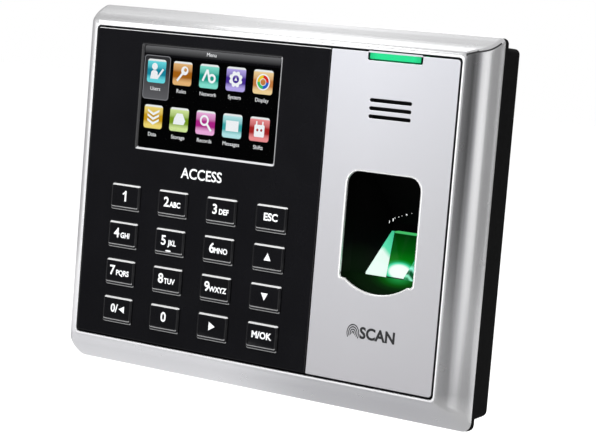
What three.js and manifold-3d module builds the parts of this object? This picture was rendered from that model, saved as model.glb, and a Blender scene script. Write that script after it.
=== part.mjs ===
// Wall-mounted fingerprint scanner terminal with a display and a sixteen-key keypad.
// Millimetres, +Z up. The origin is the middle of the wall bracket's back face, +X is to the
// right seen from the front and +Y points into the wall.
//
// Inside the terminal group the origin is the middle of the front panel's plane, so that a
// piece's y is its depth behind that plane.

import * as THREE from "three";
import { mergeVertices } from "three/addons/utils/BufferGeometryUtils.js";
import Module from "manifold-3d";

const wasm = await Module();
wasm.setup();

// ---------------------------------------------------------------- driving dimensions

const GAP = 0.3; // clearance between neighbouring pieces
const OVERSHOOT = 1; // how far a cutting tool runs past the face that it cuts
const FAR = 40; // a depth behind everything, where a cutting tool that goes right through ends
const BOND = 0.1; // how far two solids that are joined sink into each other
const CORNER_STEPS = 2; // straight steps in a small round corner
const PANEL_CORNER_STEPS = 4;
const WALL_DEPTH = 33.5; // front panel plane to the wall
const PANEL_HEIGHT = 1.95; // panel centre above the origin
const PANEL = { width: 163.7, height: 121.3, corner: 1.8 };
const SEAM_X = 27.6; // where the keypad fascia meets the sensor fascia
const SEAM_GAP = 0.4;

const FASCIA = { front: 0, back: 2 };
const CHASSIS = { front: 2.3, back: 4.1 };
const CHASSIS_RIM = 1.8;
const LEDGE = { front: 6.8, back: 8.0, side: 5, top: 2, bottom: 4.2 }; // the frame traps it
const FRAME_BACK = 14;
const FRAME_LEDGE_ROOM = { front: 6.5, side: 6, top: 2.5, bottom: 5 };
const FRAME_REAR_ROOM = { front: 10, side: 7.2, top: 4.4, bottom: 7.6 };
const SHELL = { front: 14.3, lip: 16.5, back: 32, wall: 2 };
const SHELL_ROOM = { side: 4.4, top: 2.7, bottom: 7 };

// How far the frame stands outside the panel opening, by depth: sides, top and bottom.
const FRAME_PROFILE = [
  { depth: 0, side: 0.9, top: 0.9, bottom: 0.9 },
  { depth: 0.6, side: 1.6, top: 1.4, bottom: 1.6 },
  { depth: 3, side: 2.5, top: 2.3, bottom: 3.2 },
  { depth: 4, side: 3.1, top: 2.8, bottom: 4.0 },
  { depth: 4.8, side: 4.2, top: 3.2, bottom: 4.8 },
  { depth: 6.1, side: 7.2, top: 4.0, bottom: 6.0 },
  { depth: 6.8, side: 8.5, top: 4.4, bottom: 6.8 },
  { depth: 7.6, side: 9.2, top: 4.8, bottom: 7.5 },
  { depth: 8.6, side: 9.4, top: 5.5, bottom: 8.4 },
  { depth: 11, side: 9.4, top: 6.9, bottom: 10.3 },
  { depth: FRAME_BACK, side: 9.4, top: 8.4, bottom: 12.3 },
];
const SHELL_PROFILE = [
  { depth: SHELL.front, side: 9.2, top: 8.2, bottom: 12.1 },
  { depth: SHELL.lip, side: 9.2, top: 8.2, bottom: 12.1 },
  { depth: SHELL.lip + 0.1, side: 6.6, top: 5.2, bottom: 9.9 },
  { depth: SHELL.back - 1.2, side: 6.4, top: 4.7, bottom: 9.0 },
  { depth: SHELL.back, side: 5.2, top: 3.5, bottom: 7.8 },
];

const WINDOW = { left: -59.2, right: 6.5, bottom: 14.4, top: 55.5, corner: 0.6 };
const LENS = { rim: 1.3, front: 0.9, back: 2.0 }; // rim is how far the lens hides under the fascia
const LCD = { front: 4.4, back: 5.8, width: 70.5, height: 46 };
const LCD_X = (WINDOW.left + WINDOW.right) / 2;
const LCD_Z = (WINDOW.bottom + WINDOW.top) / 2;
const LCD_FLEX = { halfWidth: 12, film: 0.3, drop: 2, tail: 5 };
const BACKLIGHT = { front: 6.1, back: 8.3 };

const KEY = {
  width: 13.8,
  height: 10.2,
  corner: 1,
  proud: 1,
  bevel: 0.8,
  travel: 1,
  wall: 1.5,
  hollowFront: 1.6,
  plunger: 1.4, // radius
  flange: 1,
  flangeFront: 4.4,
  flangeBack: 5.2,
};
const KEY_COLUMNS = [-61.6, -38.55, -15.5, 7.55];
const KEY_ROWS = [-5.1, -19.95, -34.8, -49.65];
const KEY_NAMES = [
  ["key_1", "key_2", "key_3", "key_esc"],
  ["key_4", "key_5", "key_6", "key_up"],
  ["key_7", "key_8", "key_9", "key_down"],
  ["key_clear", "key_0", "key_right", "key_menu"],
];
const KEYPAD_AREA = { left: -71, right: 18.5, bottom: -57.5, top: 3 };
const MAT = { front: 6.5, back: 7.2, domeFront: 4.95, domeBack: 6.55, domeRadius: 2.6 };
const KEYPAD_BOARD = { front: 7.5, back: 9.1, screwNotch: 2.8 };

const LIGHT_BAR = { left: 43.9, right: 65.8, bottom: 57.4, top: 60.2, back: 6.2 };
const LED_BOARD = { front: 6.6, back: 8.2, bottom: 54.6, top: 58.1, overhang: 2 };

const SPEAKER = { x: 54.4, z: 40, radius: 13.5, front: 7, back: 12.2, opening: 10.6 };
const SLOT = { length: 17.6, height: 1.35, pitch: 2.95, count: 3 };

// The finger opening: a rounded rectangle whose lower edge dips in an arc.
const FINGER = { x: 54.4, halfWidth: 15.6, top: 17, bottom: -22.6, corner: 5, dip: 4.3 };
const DIP_HALF_WIDTH = 13.4;
const FOOT_CORNER = 1.2;
const CRADLE_WALL = 1.6;
const CRADLE_FLANGE = { left: 36, right: 72.3, bottom: -32, top: 22, back: 6 };
const PLATEN = { halfWidth: 7.4, topDepth: 23.7, topZ: -5.6, bottomDepth: 20, bottomZ: -22.3 };
const CHEEK = { frontDepth: 7.4, frontZ: -20.1, thickness: 1.2 };
const GUIDE_BAR = { height: 2.4, drop: 1.2, front: 5, back: 1 }; // measured from the platen's foot
const GUIDE_HOUSING = { low: [44, 9, -27.6], high: [64.8, 21.6, -21.5] };
const GUIDE_SLOT = { low: [44.6, 14.6, -30], high: [64.2, 19.5, -24] };
const PRISM_DEPTH = 6.4;
const CAMERA = { depth: 26.4, radius: 2.9, bottom: 3.6, top: 12.4, tip: 2 };
const SENSOR_BOARD = { halfWidth: 12, front: 18.6, back: 29.5, thickness: 1.4 };

const BOARD = { left: -72, right: 30, bottom: -54, top: 50, front: 10, back: 11.6 };
const BOARD_SCREWS = [
  [-66, 44],
  [24, 44],
  [-66, -14],
  [24, -14],
];
const CASE_SCREWS = [
  [-76, 50],
  [76, 50],
  [-76, -50],
  [76, -50],
];
const SCREW = { shank: 1.25, head: 2.7, headHeight: 2.2, tip: 7, seat: 26 };
const BOARD_SCREW = { shank: 1.1, head: 2.2, headHeight: 1.4, tip: 20 };
const CASE_BOSS = { radius: 3.2, hole: 1.5 };
const CASE_POST = { radius: 3.8, hole: 1.6, headRoom: 3.1 };
const BOARD_POST = { radius: 3, hole: 1.4, holeEnd: 22 };
const PROCESSOR = { x: -30, z: 14, width: 26, height: 22, proud: 2.8 };
const BATTERY = { x: -52, z: -2, radius: 6.2, cap: 5.4, proud: 3.2, capProud: 3.6 };

// The cable bay in the back of the housing, and the jacks that face down into it.
const BAY = { left: -45, right: 30, bottom: -52, top: -20, floor: 13.8 };
const ETHERNET = { left: -42, right: -26, height: 13.4, length: 18 };
const RELAYS = { left: -18, right: 2, height: 10, length: 10, ways: 4 };
const POWER = { left: 10, right: 19.4, height: 11, length: 14, bore: 3.3 };
const RESET = { x: 24.5, z: -27, stem: 1.7, collar: 2.6 };
const USB = { x: 24, width: 14.4, height: 7, front: 18, top: -55 };
const USB_RISER = { halfWidth: 9, bottom: -66, top: -56.4 };

// The wall bracket: a plate, two hooks that the housing hangs on and a tab for the lock screw.
const BRACKET = { left: -54, right: 54, bottom: -58, top: 38, front: 32.3, corner: 4 };
const HOOK = { x: 35, halfWidth: 4, stemBottom: 30, stemTop: 31.2, tip: 36, front: 27.8, back: 29.4 };
const HOOK_SLOT = { bottom: 23, top: 31.5, margin: 0.6 };
const TAB = { halfWidth: 7, front: 22.5, bottom: -58, top: -56.8, hole: 2.2 };
const LOCK_SCREW = { depth: 26.5, shank: 1.5, head: 2.9, headHeight: 1.8, seat: -69, top: -55.2 };
const WALL_HOLE = { width: 8, height: 4.4 };
const WALL_HOLES = [
  [-44, 10],
  [44, 10],
  [-10, 30],
  [10, 30],
];

// ---------------------------------------------------------------- materials

function finish(color, roughness, metalness = 0) {
  return () => new THREE.MeshStandardMaterial({ color, roughness, metalness });
}

const silverPaint = finish(0xc8c9cd, 0.38, 0.25);
const blackPlastic = finish(0x17171a, 0.55);
const glossBlack = finish(0x18181b, 0.12);
const greyPlastic = finish(0x4a4c50, 0.6);
const clearLens = finish(0x20242a, 0.05);
const lcdGlass = finish(0x10141c, 0.1);
const whitePlastic = finish(0xdadada, 0.5);
const silicone = finish(0x55585c, 0.8);
const greenLight = finish(0x36e79c, 0.3);
const greenGlass = finish(0x1f9a3c, 0.08);
const circuitBoard = finish(0x1d5a34, 0.5);
const zincSteel = finish(0xb8bcc0, 0.35, 0.9);
const brightSteel = finish(0xcfd2d5, 0.25, 0.95);
const amberFilm = finish(0xa4692a, 0.5);
const connectorGreen = finish(0x2f8a4c, 0.55);

// ---------------------------------------------------------------- solids

// A closed three.js geometry as a solid that can be joined and cut.
function solid(geometry) {
  const bare = geometry.index ? geometry.toNonIndexed() : geometry.clone();
  bare.deleteAttribute("normal");
  bare.deleteAttribute("uv");
  const merged = mergeVertices(bare, 1e-4);
  return new wasm.Manifold(
    new wasm.Mesh({
      numProp: 3,
      vertProperties: new Float32Array(merged.attributes.position.array),
      triVerts: new Uint32Array(merged.index.array),
    }),
  );
}

function join(...solids) {
  return solids.reduce((whole, next) => whole.add(next));
}

function cut(whole, ...tools) {
  return tools.reduce((left, tool) => left.subtract(tool), whole);
}

// A solid as a named mesh.
function piece(name, shape, material) {
  const { vertProperties, triVerts, numProp } = shape.getMesh();
  const points = new Float32Array((vertProperties.length / numProp) * 3);
  for (let i = 0; i < points.length / 3; i++)
    points.set(vertProperties.subarray(i * numProp, i * numProp + 3), i * 3);
  const indexed = new THREE.BufferGeometry();
  indexed.setAttribute("position", new THREE.BufferAttribute(points, 3));
  indexed.setIndex(new THREE.BufferAttribute(new Uint32Array(triVerts), 1));
  const geometry = indexed.toNonIndexed();
  geometry.computeVertexNormals();
  const mesh = new THREE.Mesh(geometry, material());
  mesh.name = name;
  return mesh;
}

// A box between two corners, each [x, depth, z].
function block([x0, d0, z0], [x1, d1, z1]) {
  const box = new THREE.BoxGeometry(x1 - x0, d1 - d0, z1 - z0);
  return solid(box.translate((x0 + x1) / 2, (d0 + d1) / 2, (z0 + z1) / 2));
}

// An outline drawn in x and z, seen from the front, filled from one depth to another.
function slab(outline, front, back, curveSegments = 4) {
  const options = { depth: back - front, bevelEnabled: false, curveSegments };
  const geometry = new THREE.ExtrudeGeometry(outline, options);
  return solid(geometry.rotateX(Math.PI / 2).translate(0, back, 0));
}

// An outline drawn in depth and z, seen from the side, filled from one x to another.
function sideSlab(outline, left, right, curveSegments = 4) {
  const options = { depth: right - left, bevelEnabled: false, curveSegments };
  const geometry = new THREE.ExtrudeGeometry(outline, options);
  const axes = new THREE.Matrix4().makeBasis(
    new THREE.Vector3(0, 1, 0),
    new THREE.Vector3(0, 0, 1),
    new THREE.Vector3(1, 0, 0),
  );
  return solid(geometry.applyMatrix4(axes).translate(left, 0, 0));
}

// An outline drawn in x and depth, seen from above, filled from one height to another.
function planSlab(outline, bottom, top) {
  const options = { depth: top - bottom, bevelEnabled: false };
  return solid(new THREE.ExtrudeGeometry(outline, options).translate(0, 0, bottom));
}

// A round bar along the depth direction.
function rod(x, z, radius, front, back, segments = 16) {
  const bar = new THREE.CylinderGeometry(radius, radius, back - front, segments);
  return solid(bar.translate(x, (front + back) / 2, z));
}

// A round bar along z.
function post(x, depth, radius, bottom, top, segments = 16) {
  const bar = new THREE.CylinderGeometry(radius, radius, top - bottom, segments);
  return solid(bar.rotateX(Math.PI / 2).translate(x, depth, (bottom + top) / 2));
}

// ---------------------------------------------------------------- outlines

function polygon(points) {
  return new THREE.Shape(points.map(([u, v]) => new THREE.Vector2(u, v)));
}

// The points of a rectangle with round corners: bottom right, top right, top left, bottom left.
function roundedPoints(left, right, bottom, top, radii, steps = CORNER_STEPS) {
  const corners = [
    [right - radii[0], bottom + radii[0]],
    [right - radii[1], top - radii[1]],
    [left + radii[2], top - radii[2]],
    [left + radii[3], bottom + radii[3]],
  ];
  return corners.flatMap(([x, z], corner) =>
    Array.from({ length: steps + 1 }, (_, step) => {
      const angle = (Math.PI / 2) * (corner - 1 + step / steps);
      return new THREE.Vector2(
        x + radii[corner] * Math.cos(angle),
        z + radii[corner] * Math.sin(angle),
      );
    }),
  );
}

function roundedRect(left, right, bottom, top, radius) {
  return new THREE.Shape(
    roundedPoints(left, right, bottom, top, [radius, radius, radius, radius]),
  );
}

function centredRect(x, z, width, height, radius) {
  return roundedRect(x - width / 2, x + width / 2, z - height / 2, z + height / 2, radius);
}

// The panel opening's outline, moved outwards by its own amount on each side.
function panelPoints({ side, top, bottom }, topCorner, bottomCorner) {
  const x = PANEL.width / 2 + side;
  return roundedPoints(
    -x,
    x,
    -PANEL.height / 2 - bottom,
    PANEL.height / 2 + top,
    [bottomCorner, topCorner, topCorner, bottomCorner],
    PANEL_CORNER_STEPS,
  );
}

function panelOutline(offset, topCorner, bottomCorner) {
  return new THREE.Shape(panelPoints(offset, topCorner, bottomCorner));
}

function evenOffset(amount) {
  return { side: amount, top: amount, bottom: amount };
}

// A skin through a stack of rings that all have the same number of points.
function loft(sections) {
  const rings = sections.map(({ ring, depth }) =>
    ring.map((point) => new THREE.Vector3(point.x, depth, point.y)),
  );
  const count = rings[0].length;
  const faces = [];
  for (let level = 0; level < rings.length - 1; level++)
    for (let i = 0; i < count; i++) {
      const a = level * count + i;
      const b = level * count + ((i + 1) % count);
      faces.push(a, a + count, b, b, a + count, b + count);
    }
  const last = (rings.length - 1) * count;
  for (let i = 1; i < count - 1; i++) {
    faces.push(0, i, i + 1);
    faces.push(last, last + i + 1, last + i);
  }
  const geometry = new THREE.BufferGeometry().setFromPoints(rings.flat());
  geometry.setIndex(faces);
  return solid(geometry);
}

// The finger opening's outline, moved outwards by grow.
function fingerOutline(grow = 0) {
  const { x, halfWidth, top, bottom, corner, dip } = FINGER;
  const left = x - halfWidth - grow;
  const right = x + halfWidth + grow;
  const high = top + grow;
  const low = bottom - grow;
  const radius = corner + grow;
  const foot = FOOT_CORNER + grow;
  const dipRadius = (DIP_HALF_WIDTH ** 2 + dip ** 2) / (2 * dip);
  const reach = Math.asin(DIP_HALF_WIDTH / dipRadius);
  const shape = new THREE.Shape();
  shape.moveTo(left + foot, low);
  shape.lineTo(x - DIP_HALF_WIDTH, low);
  shape.absarc(x, low - dip + dipRadius, dipRadius, -Math.PI / 2 - reach, -Math.PI / 2 + reach);
  shape.lineTo(right - foot, low);
  shape.absarc(right - foot, low + foot, foot, -Math.PI / 2, 0);
  shape.lineTo(right, high - radius);
  shape.absarc(right - radius, high - radius, radius, 0, Math.PI / 2);
  shape.lineTo(left + radius, high);
  shape.absarc(left + radius, high - radius, radius, Math.PI / 2, Math.PI);
  shape.lineTo(left, low + foot);
  shape.absarc(left + foot, low + foot, foot, Math.PI, Math.PI * 1.5);
  return shape;
}

// ---------------------------------------------------------------- front cover

function frontFrame() {
  const outer = loft(
    FRAME_PROFILE.map((offset) => ({
      ring: panelPoints(offset, 1.5, 1.8 + offset.side * 0.2),
      depth: offset.depth,
    })),
  );
  const opening = slab(panelOutline(evenOffset(0), PANEL.corner, PANEL.corner), -OVERSHOOT, FAR);
  const [ledgeRoom, rearRoom] = [FRAME_LEDGE_ROOM, FRAME_REAR_ROOM].map((room) =>
    slab(panelOutline(room, 1.5, 1.5), room.front, FAR),
  );
  return piece("front_frame", cut(outer, opening, ledgeRoom, rearRoom), silverPaint);
}

function keyHole(x, z) {
  return centredRect(x, z, KEY.width + 2 * GAP, KEY.height + 2 * GAP, KEY.corner + GAP);
}

function eachKey(visit) {
  return KEY_ROWS.flatMap((z, row) =>
    KEY_COLUMNS.map((x, column) => visit(x, z, KEY_NAMES[row][column])),
  );
}

function keypadFascia() {
  const left = -PANEL.width / 2 + GAP;
  const half = PANEL.height / 2 - GAP;
  const right = SEAM_X - SEAM_GAP / 2;
  const plate = slab(roundedRect(left, right, -half, half, 1.4), FASCIA.front, FASCIA.back);
  const window = slab(
    roundedRect(WINDOW.left, WINDOW.right, WINDOW.bottom, WINDOW.top, WINDOW.corner),
    -OVERSHOOT,
    FASCIA.back + OVERSHOOT,
  );
  const holes = eachKey((x, z) => slab(keyHole(x, z), -OVERSHOOT, FASCIA.back + OVERSHOOT, 3));
  const rebate = slab(lensOutline(LENS.rim), LENS.front - GAP, FASCIA.back + OVERSHOOT);
  return piece("keypad_fascia", cut(plate, window, rebate, ...holes), glossBlack);
}

function lensOutline(grow) {
  const { left, right, bottom, top, corner } = WINDOW;
  return roundedRect(left - grow, right + grow, bottom - grow, top + grow, corner);
}

function speakerSlots(front, back) {
  const middle = (SLOT.count - 1) / 2;
  const radius = SLOT.height / 2 - 0.01;
  return Array.from({ length: SLOT.count }, (_, i) => {
    const z = SPEAKER.z + (middle - i) * SLOT.pitch;
    return slab(centredRect(SPEAKER.x, z, SLOT.length, SLOT.height, radius), front, back, 3);
  });
}

function lightBarHole(front, back) {
  const { left, right, bottom, top } = LIGHT_BAR;
  return block([left - GAP, front, bottom - GAP], [right + GAP, back, top + GAP]);
}

function sensorFascia() {
  const right = PANEL.width / 2 - GAP;
  const half = PANEL.height / 2 - GAP;
  const left = SEAM_X + SEAM_GAP / 2;
  const back = FASCIA.back + OVERSHOOT;
  const plate = slab(roundedRect(left, right, -half, half, 1.2), FASCIA.front, FASCIA.back);
  const finger = slab(fingerOutline(), -OVERSHOOT, back, 6);
  const bar = lightBarHole(-OVERSHOOT, back);
  const slots = speakerSlots(-OVERSHOOT, back);
  return piece("sensor_fascia", cut(plate, finger, bar, ...slots), silverPaint);
}

function frontChassis() {
  const inset = -2 * GAP;
  const { front, back } = CHASSIS;
  const past = back + OVERSHOOT;
  const plate = slab(panelOutline(evenOffset(inset), 1.2, 1.2), front, back);
  const rim = cut(
    slab(panelOutline(evenOffset(inset), 1.2, 1.2), back - BOND, LEDGE.back),
    slab(panelOutline(evenOffset(inset - CHASSIS_RIM), 1, 1), 0, FAR),
  );
  const ledge = cut(
    slab(panelOutline(LEDGE, 1.2, 1.2), LEDGE.front, LEDGE.back),
    slab(panelOutline(evenOffset(inset - 1), 1, 1), 0, FAR),
  );
  const bossEnd = SHELL.front - 0.7;
  const bosses = CASE_SCREWS.map(([x, z]) => rod(x, z, CASE_BOSS.radius, back - BOND, bossEnd));
  const screwHoles = CASE_SCREWS.map(([x, z]) => rod(x, z, CASE_BOSS.hole, SCREW.tip - 1, FAR, 12));
  const keyHoles = eachKey((x, z) =>
    block(
      [x - KEY.width / 2 - GAP, 0, z - KEY.height / 2 - GAP],
      [x + KEY.width / 2 + GAP, past, z + KEY.height / 2 + GAP],
    ),
  );
  const windowRim = 0.4;
  const width = WINDOW.right - WINDOW.left - windowRim;
  const height = WINDOW.top - WINDOW.bottom - windowRim;
  const window = slab(centredRect(LCD_X, LCD_Z, width, height, WINDOW.corner), 0, past);
  const sound = rod(SPEAKER.x, SPEAKER.z, SPEAKER.opening, 0, past, 24);
  const cradle = slab(fingerOutline(CRADLE_WALL + GAP), 0, past, 5);
  const bar = lightBarHole(0, LEDGE.back + OVERSHOOT);
  const whole = join(plate, rim, ledge, ...bosses);
  const openings = [window, sound, cradle, bar, ...keyHoles, ...screwHoles];
  return piece("front_chassis", cut(whole, ...openings), blackPlastic);
}

// ---------------------------------------------------------------- display

function displayLens() {
  return piece("display_lens", slab(lensOutline(LENS.rim - GAP), LENS.front, LENS.back), clearLens);
}

function lcdPanel() {
  const sheet = centredRect(LCD_X, LCD_Z, LCD.width, LCD.height, 0.5);
  return piece("lcd_panel", slab(sheet, LCD.front, LCD.back, 1), lcdGlass);
}

function lcdBacklight() {
  const sheet = centredRect(LCD_X, LCD_Z, LCD.width, LCD.height, 0.8);
  return piece("lcd_backlight", slab(sheet, BACKLIGHT.front, BACKLIGHT.back, 2), whitePlastic);
}

// A strip of film that leaves the display's bottom edge and folds back to the main board.
function lcdFlex() {
  const { halfWidth, film, drop, tail } = LCD_FLEX;
  const edge = LCD_Z - LCD.height / 2 - GAP;
  const start = LCD.front + 0.4;
  const fold = edge - drop;
  const board = BOARD.front - GAP;
  const outline = polygon([
    [start, edge],
    [start, fold],
    [board - film, fold],
    [board - film, fold - tail],
    [board, fold - tail],
    [board, fold + film],
    [start + film, fold + film],
    [start + film, edge],
  ]);
  return piece("lcd_flex", sideSlab(outline, LCD_X - halfWidth, LCD_X + halfWidth), amberFilm);
}

// ---------------------------------------------------------------- keypad

function keyCap(x, z, name) {
  const { width, height, corner, proud, bevel, wall, flange } = KEY;
  const crown = [
    { depth: -proud, inset: bevel },
    { depth: -proud + bevel * 0.75, inset: 0 },
    { depth: KEY.flangeFront + BOND, inset: 0 },
  ];
  const cap = loft(
    crown.map(({ depth, inset }) => ({
      ring: roundedPoints(
        x - width / 2 + inset,
        x + width / 2 - inset,
        z - height / 2 + inset,
        z + height / 2 - inset,
        Array(4).fill(corner - inset * 0.3),
      ),
      depth,
    })),
  );
  const skirt = slab(
    centredRect(x, z, width + 2 * flange, height + 2 * flange, corner),
    KEY.flangeFront,
    KEY.flangeBack,
    2,
  );
  const hollow = block(
    [x - width / 2 + wall, KEY.hollowFront, z - height / 2 + wall],
    [x + width / 2 - wall, KEY.flangeBack + OVERSHOOT, z + height / 2 - wall],
  );
  const tip = MAT.domeFront - KEY.travel - 0.1;
  const plunger = rod(x, z, KEY.plunger, KEY.hollowFront - BOND, tip, 8);
  return piece(name, join(cut(join(cap, skirt), hollow), plunger), glossBlack);
}

function keypadSheet(corner, front, back, curveSegments) {
  const { left, right, bottom, top } = KEYPAD_AREA;
  return slab(roundedRect(left, right, bottom, top, corner), front, back, curveSegments);
}

function keypadMat() {
  const { domeFront, domeBack, domeRadius } = MAT;
  const domes = eachKey((x, z) => {
    const height = domeBack - domeFront;
    const dome = new THREE.CylinderGeometry(domeRadius, domeRadius * 0.6, height, 10);
    return solid(dome.translate(x, domeFront + height / 2, z));
  });
  return piece("keypad_mat", join(keypadSheet(2, MAT.front, MAT.back, 3), ...domes), silicone);
}

function keypadBoard() {
  const { front, back, screwNotch } = KEYPAD_BOARD;
  const [x, z] = BOARD_SCREWS[2];
  const board = cut(keypadSheet(1, front, back, 2), rod(x, z, screwNotch, 0, FAR, 12));
  return piece("keypad_board", board, circuitBoard);
}

// ---------------------------------------------------------------- status light and speaker

function statusLightBar() {
  const { left, right, bottom, top, back } = LIGHT_BAR;
  const bar = block([left, 0.2, bottom], [right, back, top]);
  return piece("status_light_bar", bar, greenLight);
}

function statusLedBoard() {
  const { front, back, bottom, top, overhang } = LED_BOARD;
  const board = block(
    [LIGHT_BAR.left - overhang, front, bottom],
    [LIGHT_BAR.right + overhang, back, top],
  );
  return piece("status_led_board", board, circuitBoard);
}

function speaker() {
  const { x, z, radius, front, back } = SPEAKER;
  const profile = [
    [0, back],
    [radius * 0.55, back],
    [radius * 0.55, back - 2],
    [radius, back - 2.6],
    [radius, front],
    [radius - 1.5, front],
    [radius * 0.62, front + 1.4],
    [0, front + 0.9],
  ];
  const points = profile.map(([r, depth]) => new THREE.Vector2(r, depth)).reverse();
  const lathe = new THREE.LatheGeometry(points, 24).translate(x, 0, z);
  return piece("speaker", solid(lathe), greyPlastic);
}

function speakerGasket() {
  const { x, z, radius, front } = SPEAKER;
  const ring = cut(
    rod(x, z, radius, CHASSIS.back + GAP, front - GAP, 24),
    rod(x, z, radius - 2.2, 0, FAR, 24),
  );
  return piece("speaker_gasket", ring, silicone);
}

// ---------------------------------------------------------------- fingerprint sensor

// The recess that the finger goes into, moved outwards by grow: the opening's outline, a side
// profile that falls to the platen, and a plan that narrows towards it.
function fingerRecess(front, grow = 0) {
  const through = slab(fingerOutline(grow), front, 28, 6);
  const side = polygon([
    [-6, 24],
    [-6, -27.6 - grow],
    [2.6 + grow, -27.6 - grow],
    [CHEEK.frontDepth - 0.4 + grow * 0.6, CHEEK.frontZ - 0.7 - grow],
    [PLATEN.bottomDepth + grow * 0.4, PLATEN.bottomZ - 0.4 - grow],
    [PLATEN.bottomDepth + grow, PLATEN.bottomZ - 0.4 - grow],
    [PLATEN.topDepth + grow, PLATEN.topZ],
    [PLATEN.topDepth + 0.8 + grow, PLATEN.topZ + 3],
    [13 + grow, FINGER.top + 0.5 + grow],
    [13 + grow, 24],
  ]);
  const { x } = FINGER;
  const edge = PLATEN.halfWidth + CHEEK.thickness + 0.2 + grow;
  const mouth = FINGER.halfWidth + 1 + grow;
  const plan = polygon([
    [x - mouth, -6],
    [x + mouth, -6],
    [x + mouth, 6],
    [x + edge, 21],
    [x + edge, 29],
    [x - edge, 29],
    [x - edge, 21],
    [x - mouth, 6],
  ]);
  return through.intersect(sideSlab(side, 30, 80)).intersect(planSlab(plan, -40, 30));
}

function cheekOutline(grow) {
  return polygon([
    [PLATEN.topDepth + grow * 0.4, PLATEN.topZ + grow * 2.2],
    [CHEEK.frontDepth - grow * 2.2, CHEEK.frontZ - grow * 0.2],
    [CHEEK.frontDepth, CHEEK.frontZ - 1.4 - grow],
    [PLATEN.bottomDepth + grow, PLATEN.bottomZ - 1.4 - grow],
  ]);
}

// The two sides of the platen, each from its near to its far distance from the middle, as x pairs.
function bothSides(near, far) {
  return [
    [FINGER.x - far, FINGER.x - near],
    [FINGER.x + near, FINGER.x + far],
  ];
}

// A clear U round the platen: a triangular cheek on each side and a bar below it.
function lightGuideSolid(grow) {
  const inner = PLATEN.halfWidth + 0.1;
  const outer = inner + CHEEK.thickness;
  const barTop = PLATEN.bottomZ - GUIDE_BAR.drop;
  const barBottom = barTop - GUIDE_BAR.height - grow;
  const front = PLATEN.bottomDepth - GUIDE_BAR.front - grow;
  const back = PLATEN.bottomDepth - GUIDE_BAR.back + grow;
  const bar = block(
    [FINGER.x - outer, front, barBottom],
    [FINGER.x + outer, back, barTop + grow],
  );
  const parts = bothSides(inner - grow, outer + grow).flatMap(([left, right]) => [
    sideSlab(cheekOutline(grow), left, right),
    block([left, front, barBottom], [right, back, barTop + 0.2]),
  ]);
  return join(bar, ...parts);
}

function prismOutline(grow) {
  return polygon([
    [PLATEN.topDepth - grow, PLATEN.topZ + grow],
    [PLATEN.bottomDepth - grow, PLATEN.bottomZ - grow],
    [PLATEN.bottomDepth + PRISM_DEPTH + grow, PLATEN.bottomZ - grow],
    [PLATEN.topDepth + PRISM_DEPTH * 0.75 + grow, PLATEN.topZ - 4 + grow],
    [PLATEN.topDepth + PRISM_DEPTH * 0.75 + grow, PLATEN.topZ + grow],
  ]);
}

function sensorCradle() {
  const { left, right, bottom, top } = CRADLE_FLANGE;
  const tub = fingerRecess(CHASSIS.front, CRADLE_WALL);
  const flange = slab(
    roundedRect(left, right, bottom, top, 2),
    CHASSIS.back + GAP,
    CRADLE_FLANGE.back,
  );
  const guideHousing = block(GUIDE_HOUSING.low, GUIDE_HOUSING.high);
  const cheekHousing = bothSides(
    PLATEN.halfWidth - 0.4,
    PLATEN.halfWidth + CHEEK.thickness + 1.2,
  ).map(([near, far]) => sideSlab(cheekOutline(1), near, far));
  const whole = join(tub, flange, guideHousing, ...cheekHousing);
  const body = cut(whole, fingerRecess(FASCIA.back));
  const prismRoom = sideSlab(
    prismOutline(GAP),
    FINGER.x - PLATEN.halfWidth - GAP,
    FINGER.x + PLATEN.halfWidth + GAP,
  );
  const guideSlot = block(GUIDE_SLOT.low, GUIDE_SLOT.high);
  return piece(
    "sensor_cradle",
    cut(body, lightGuideSolid(GAP), guideSlot, prismRoom),
    blackPlastic,
  );
}

function sensorPrism() {
  const left = FINGER.x - PLATEN.halfWidth;
  const right = FINGER.x + PLATEN.halfWidth;
  return piece("sensor_prism", sideSlab(prismOutline(0), left, right), greenGlass);
}

function lightGuide() {
  return piece("light_guide", lightGuideSolid(0), greenLight);
}

function lensBarrel() {
  const { depth, radius, bottom, top, tip } = CAMERA;
  const tube = join(
    post(FINGER.x, depth, radius, bottom + tip, top),
    post(FINGER.x, depth, radius - 0.7, bottom, bottom + tip + BOND),
  );
  return piece("sensor_lens_barrel", tube, blackPlastic);
}

function sensorBoard() {
  const { halfWidth, front, back, thickness } = SENSOR_BOARD;
  const z = CAMERA.top + GAP;
  const board = block(
    [FINGER.x - halfWidth, front, z],
    [FINGER.x + halfWidth, back, z + thickness],
  );
  return piece("sensor_board", board, circuitBoard);
}

// ---------------------------------------------------------------- main board

function mainBoard() {
  const { left, right, bottom, top, front, back } = BOARD;
  const board = slab(roundedRect(left, right, bottom, top, 1.5), front, back, 2);
  const holes = BOARD_SCREWS.map(([x, z]) => rod(x, z, 1.5, 0, FAR, 12));
  return piece("main_board", cut(board, ...holes), circuitBoard);
}

function processorCan() {
  const { x, z, width, height, proud } = PROCESSOR;
  const outline = centredRect(x, z, width, height, 1);
  const can = slab(outline, BOARD.back + GAP, BOARD.back + proud, 2);
  return piece("processor_can", can, zincSteel);
}

function clockBattery() {
  const { x, z, radius, cap, proud, capProud } = BATTERY;
  const cell = join(
    rod(x, z, radius, BOARD.back + GAP, BOARD.back + proud, 20),
    rod(x, z, cap, BOARD.back + proud - BOND, BOARD.back + capProud, 20),
  );
  return piece("clock_battery", cell, brightSteel);
}

// A jack on the back of the main board whose mouth faces down into the cable bay.
function jackBody({ left, right, height, length }) {
  const front = BOARD.back + GAP;
  return block([left, front, BAY.top + 0.2], [right, front + height, BAY.top + length]);
}

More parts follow.
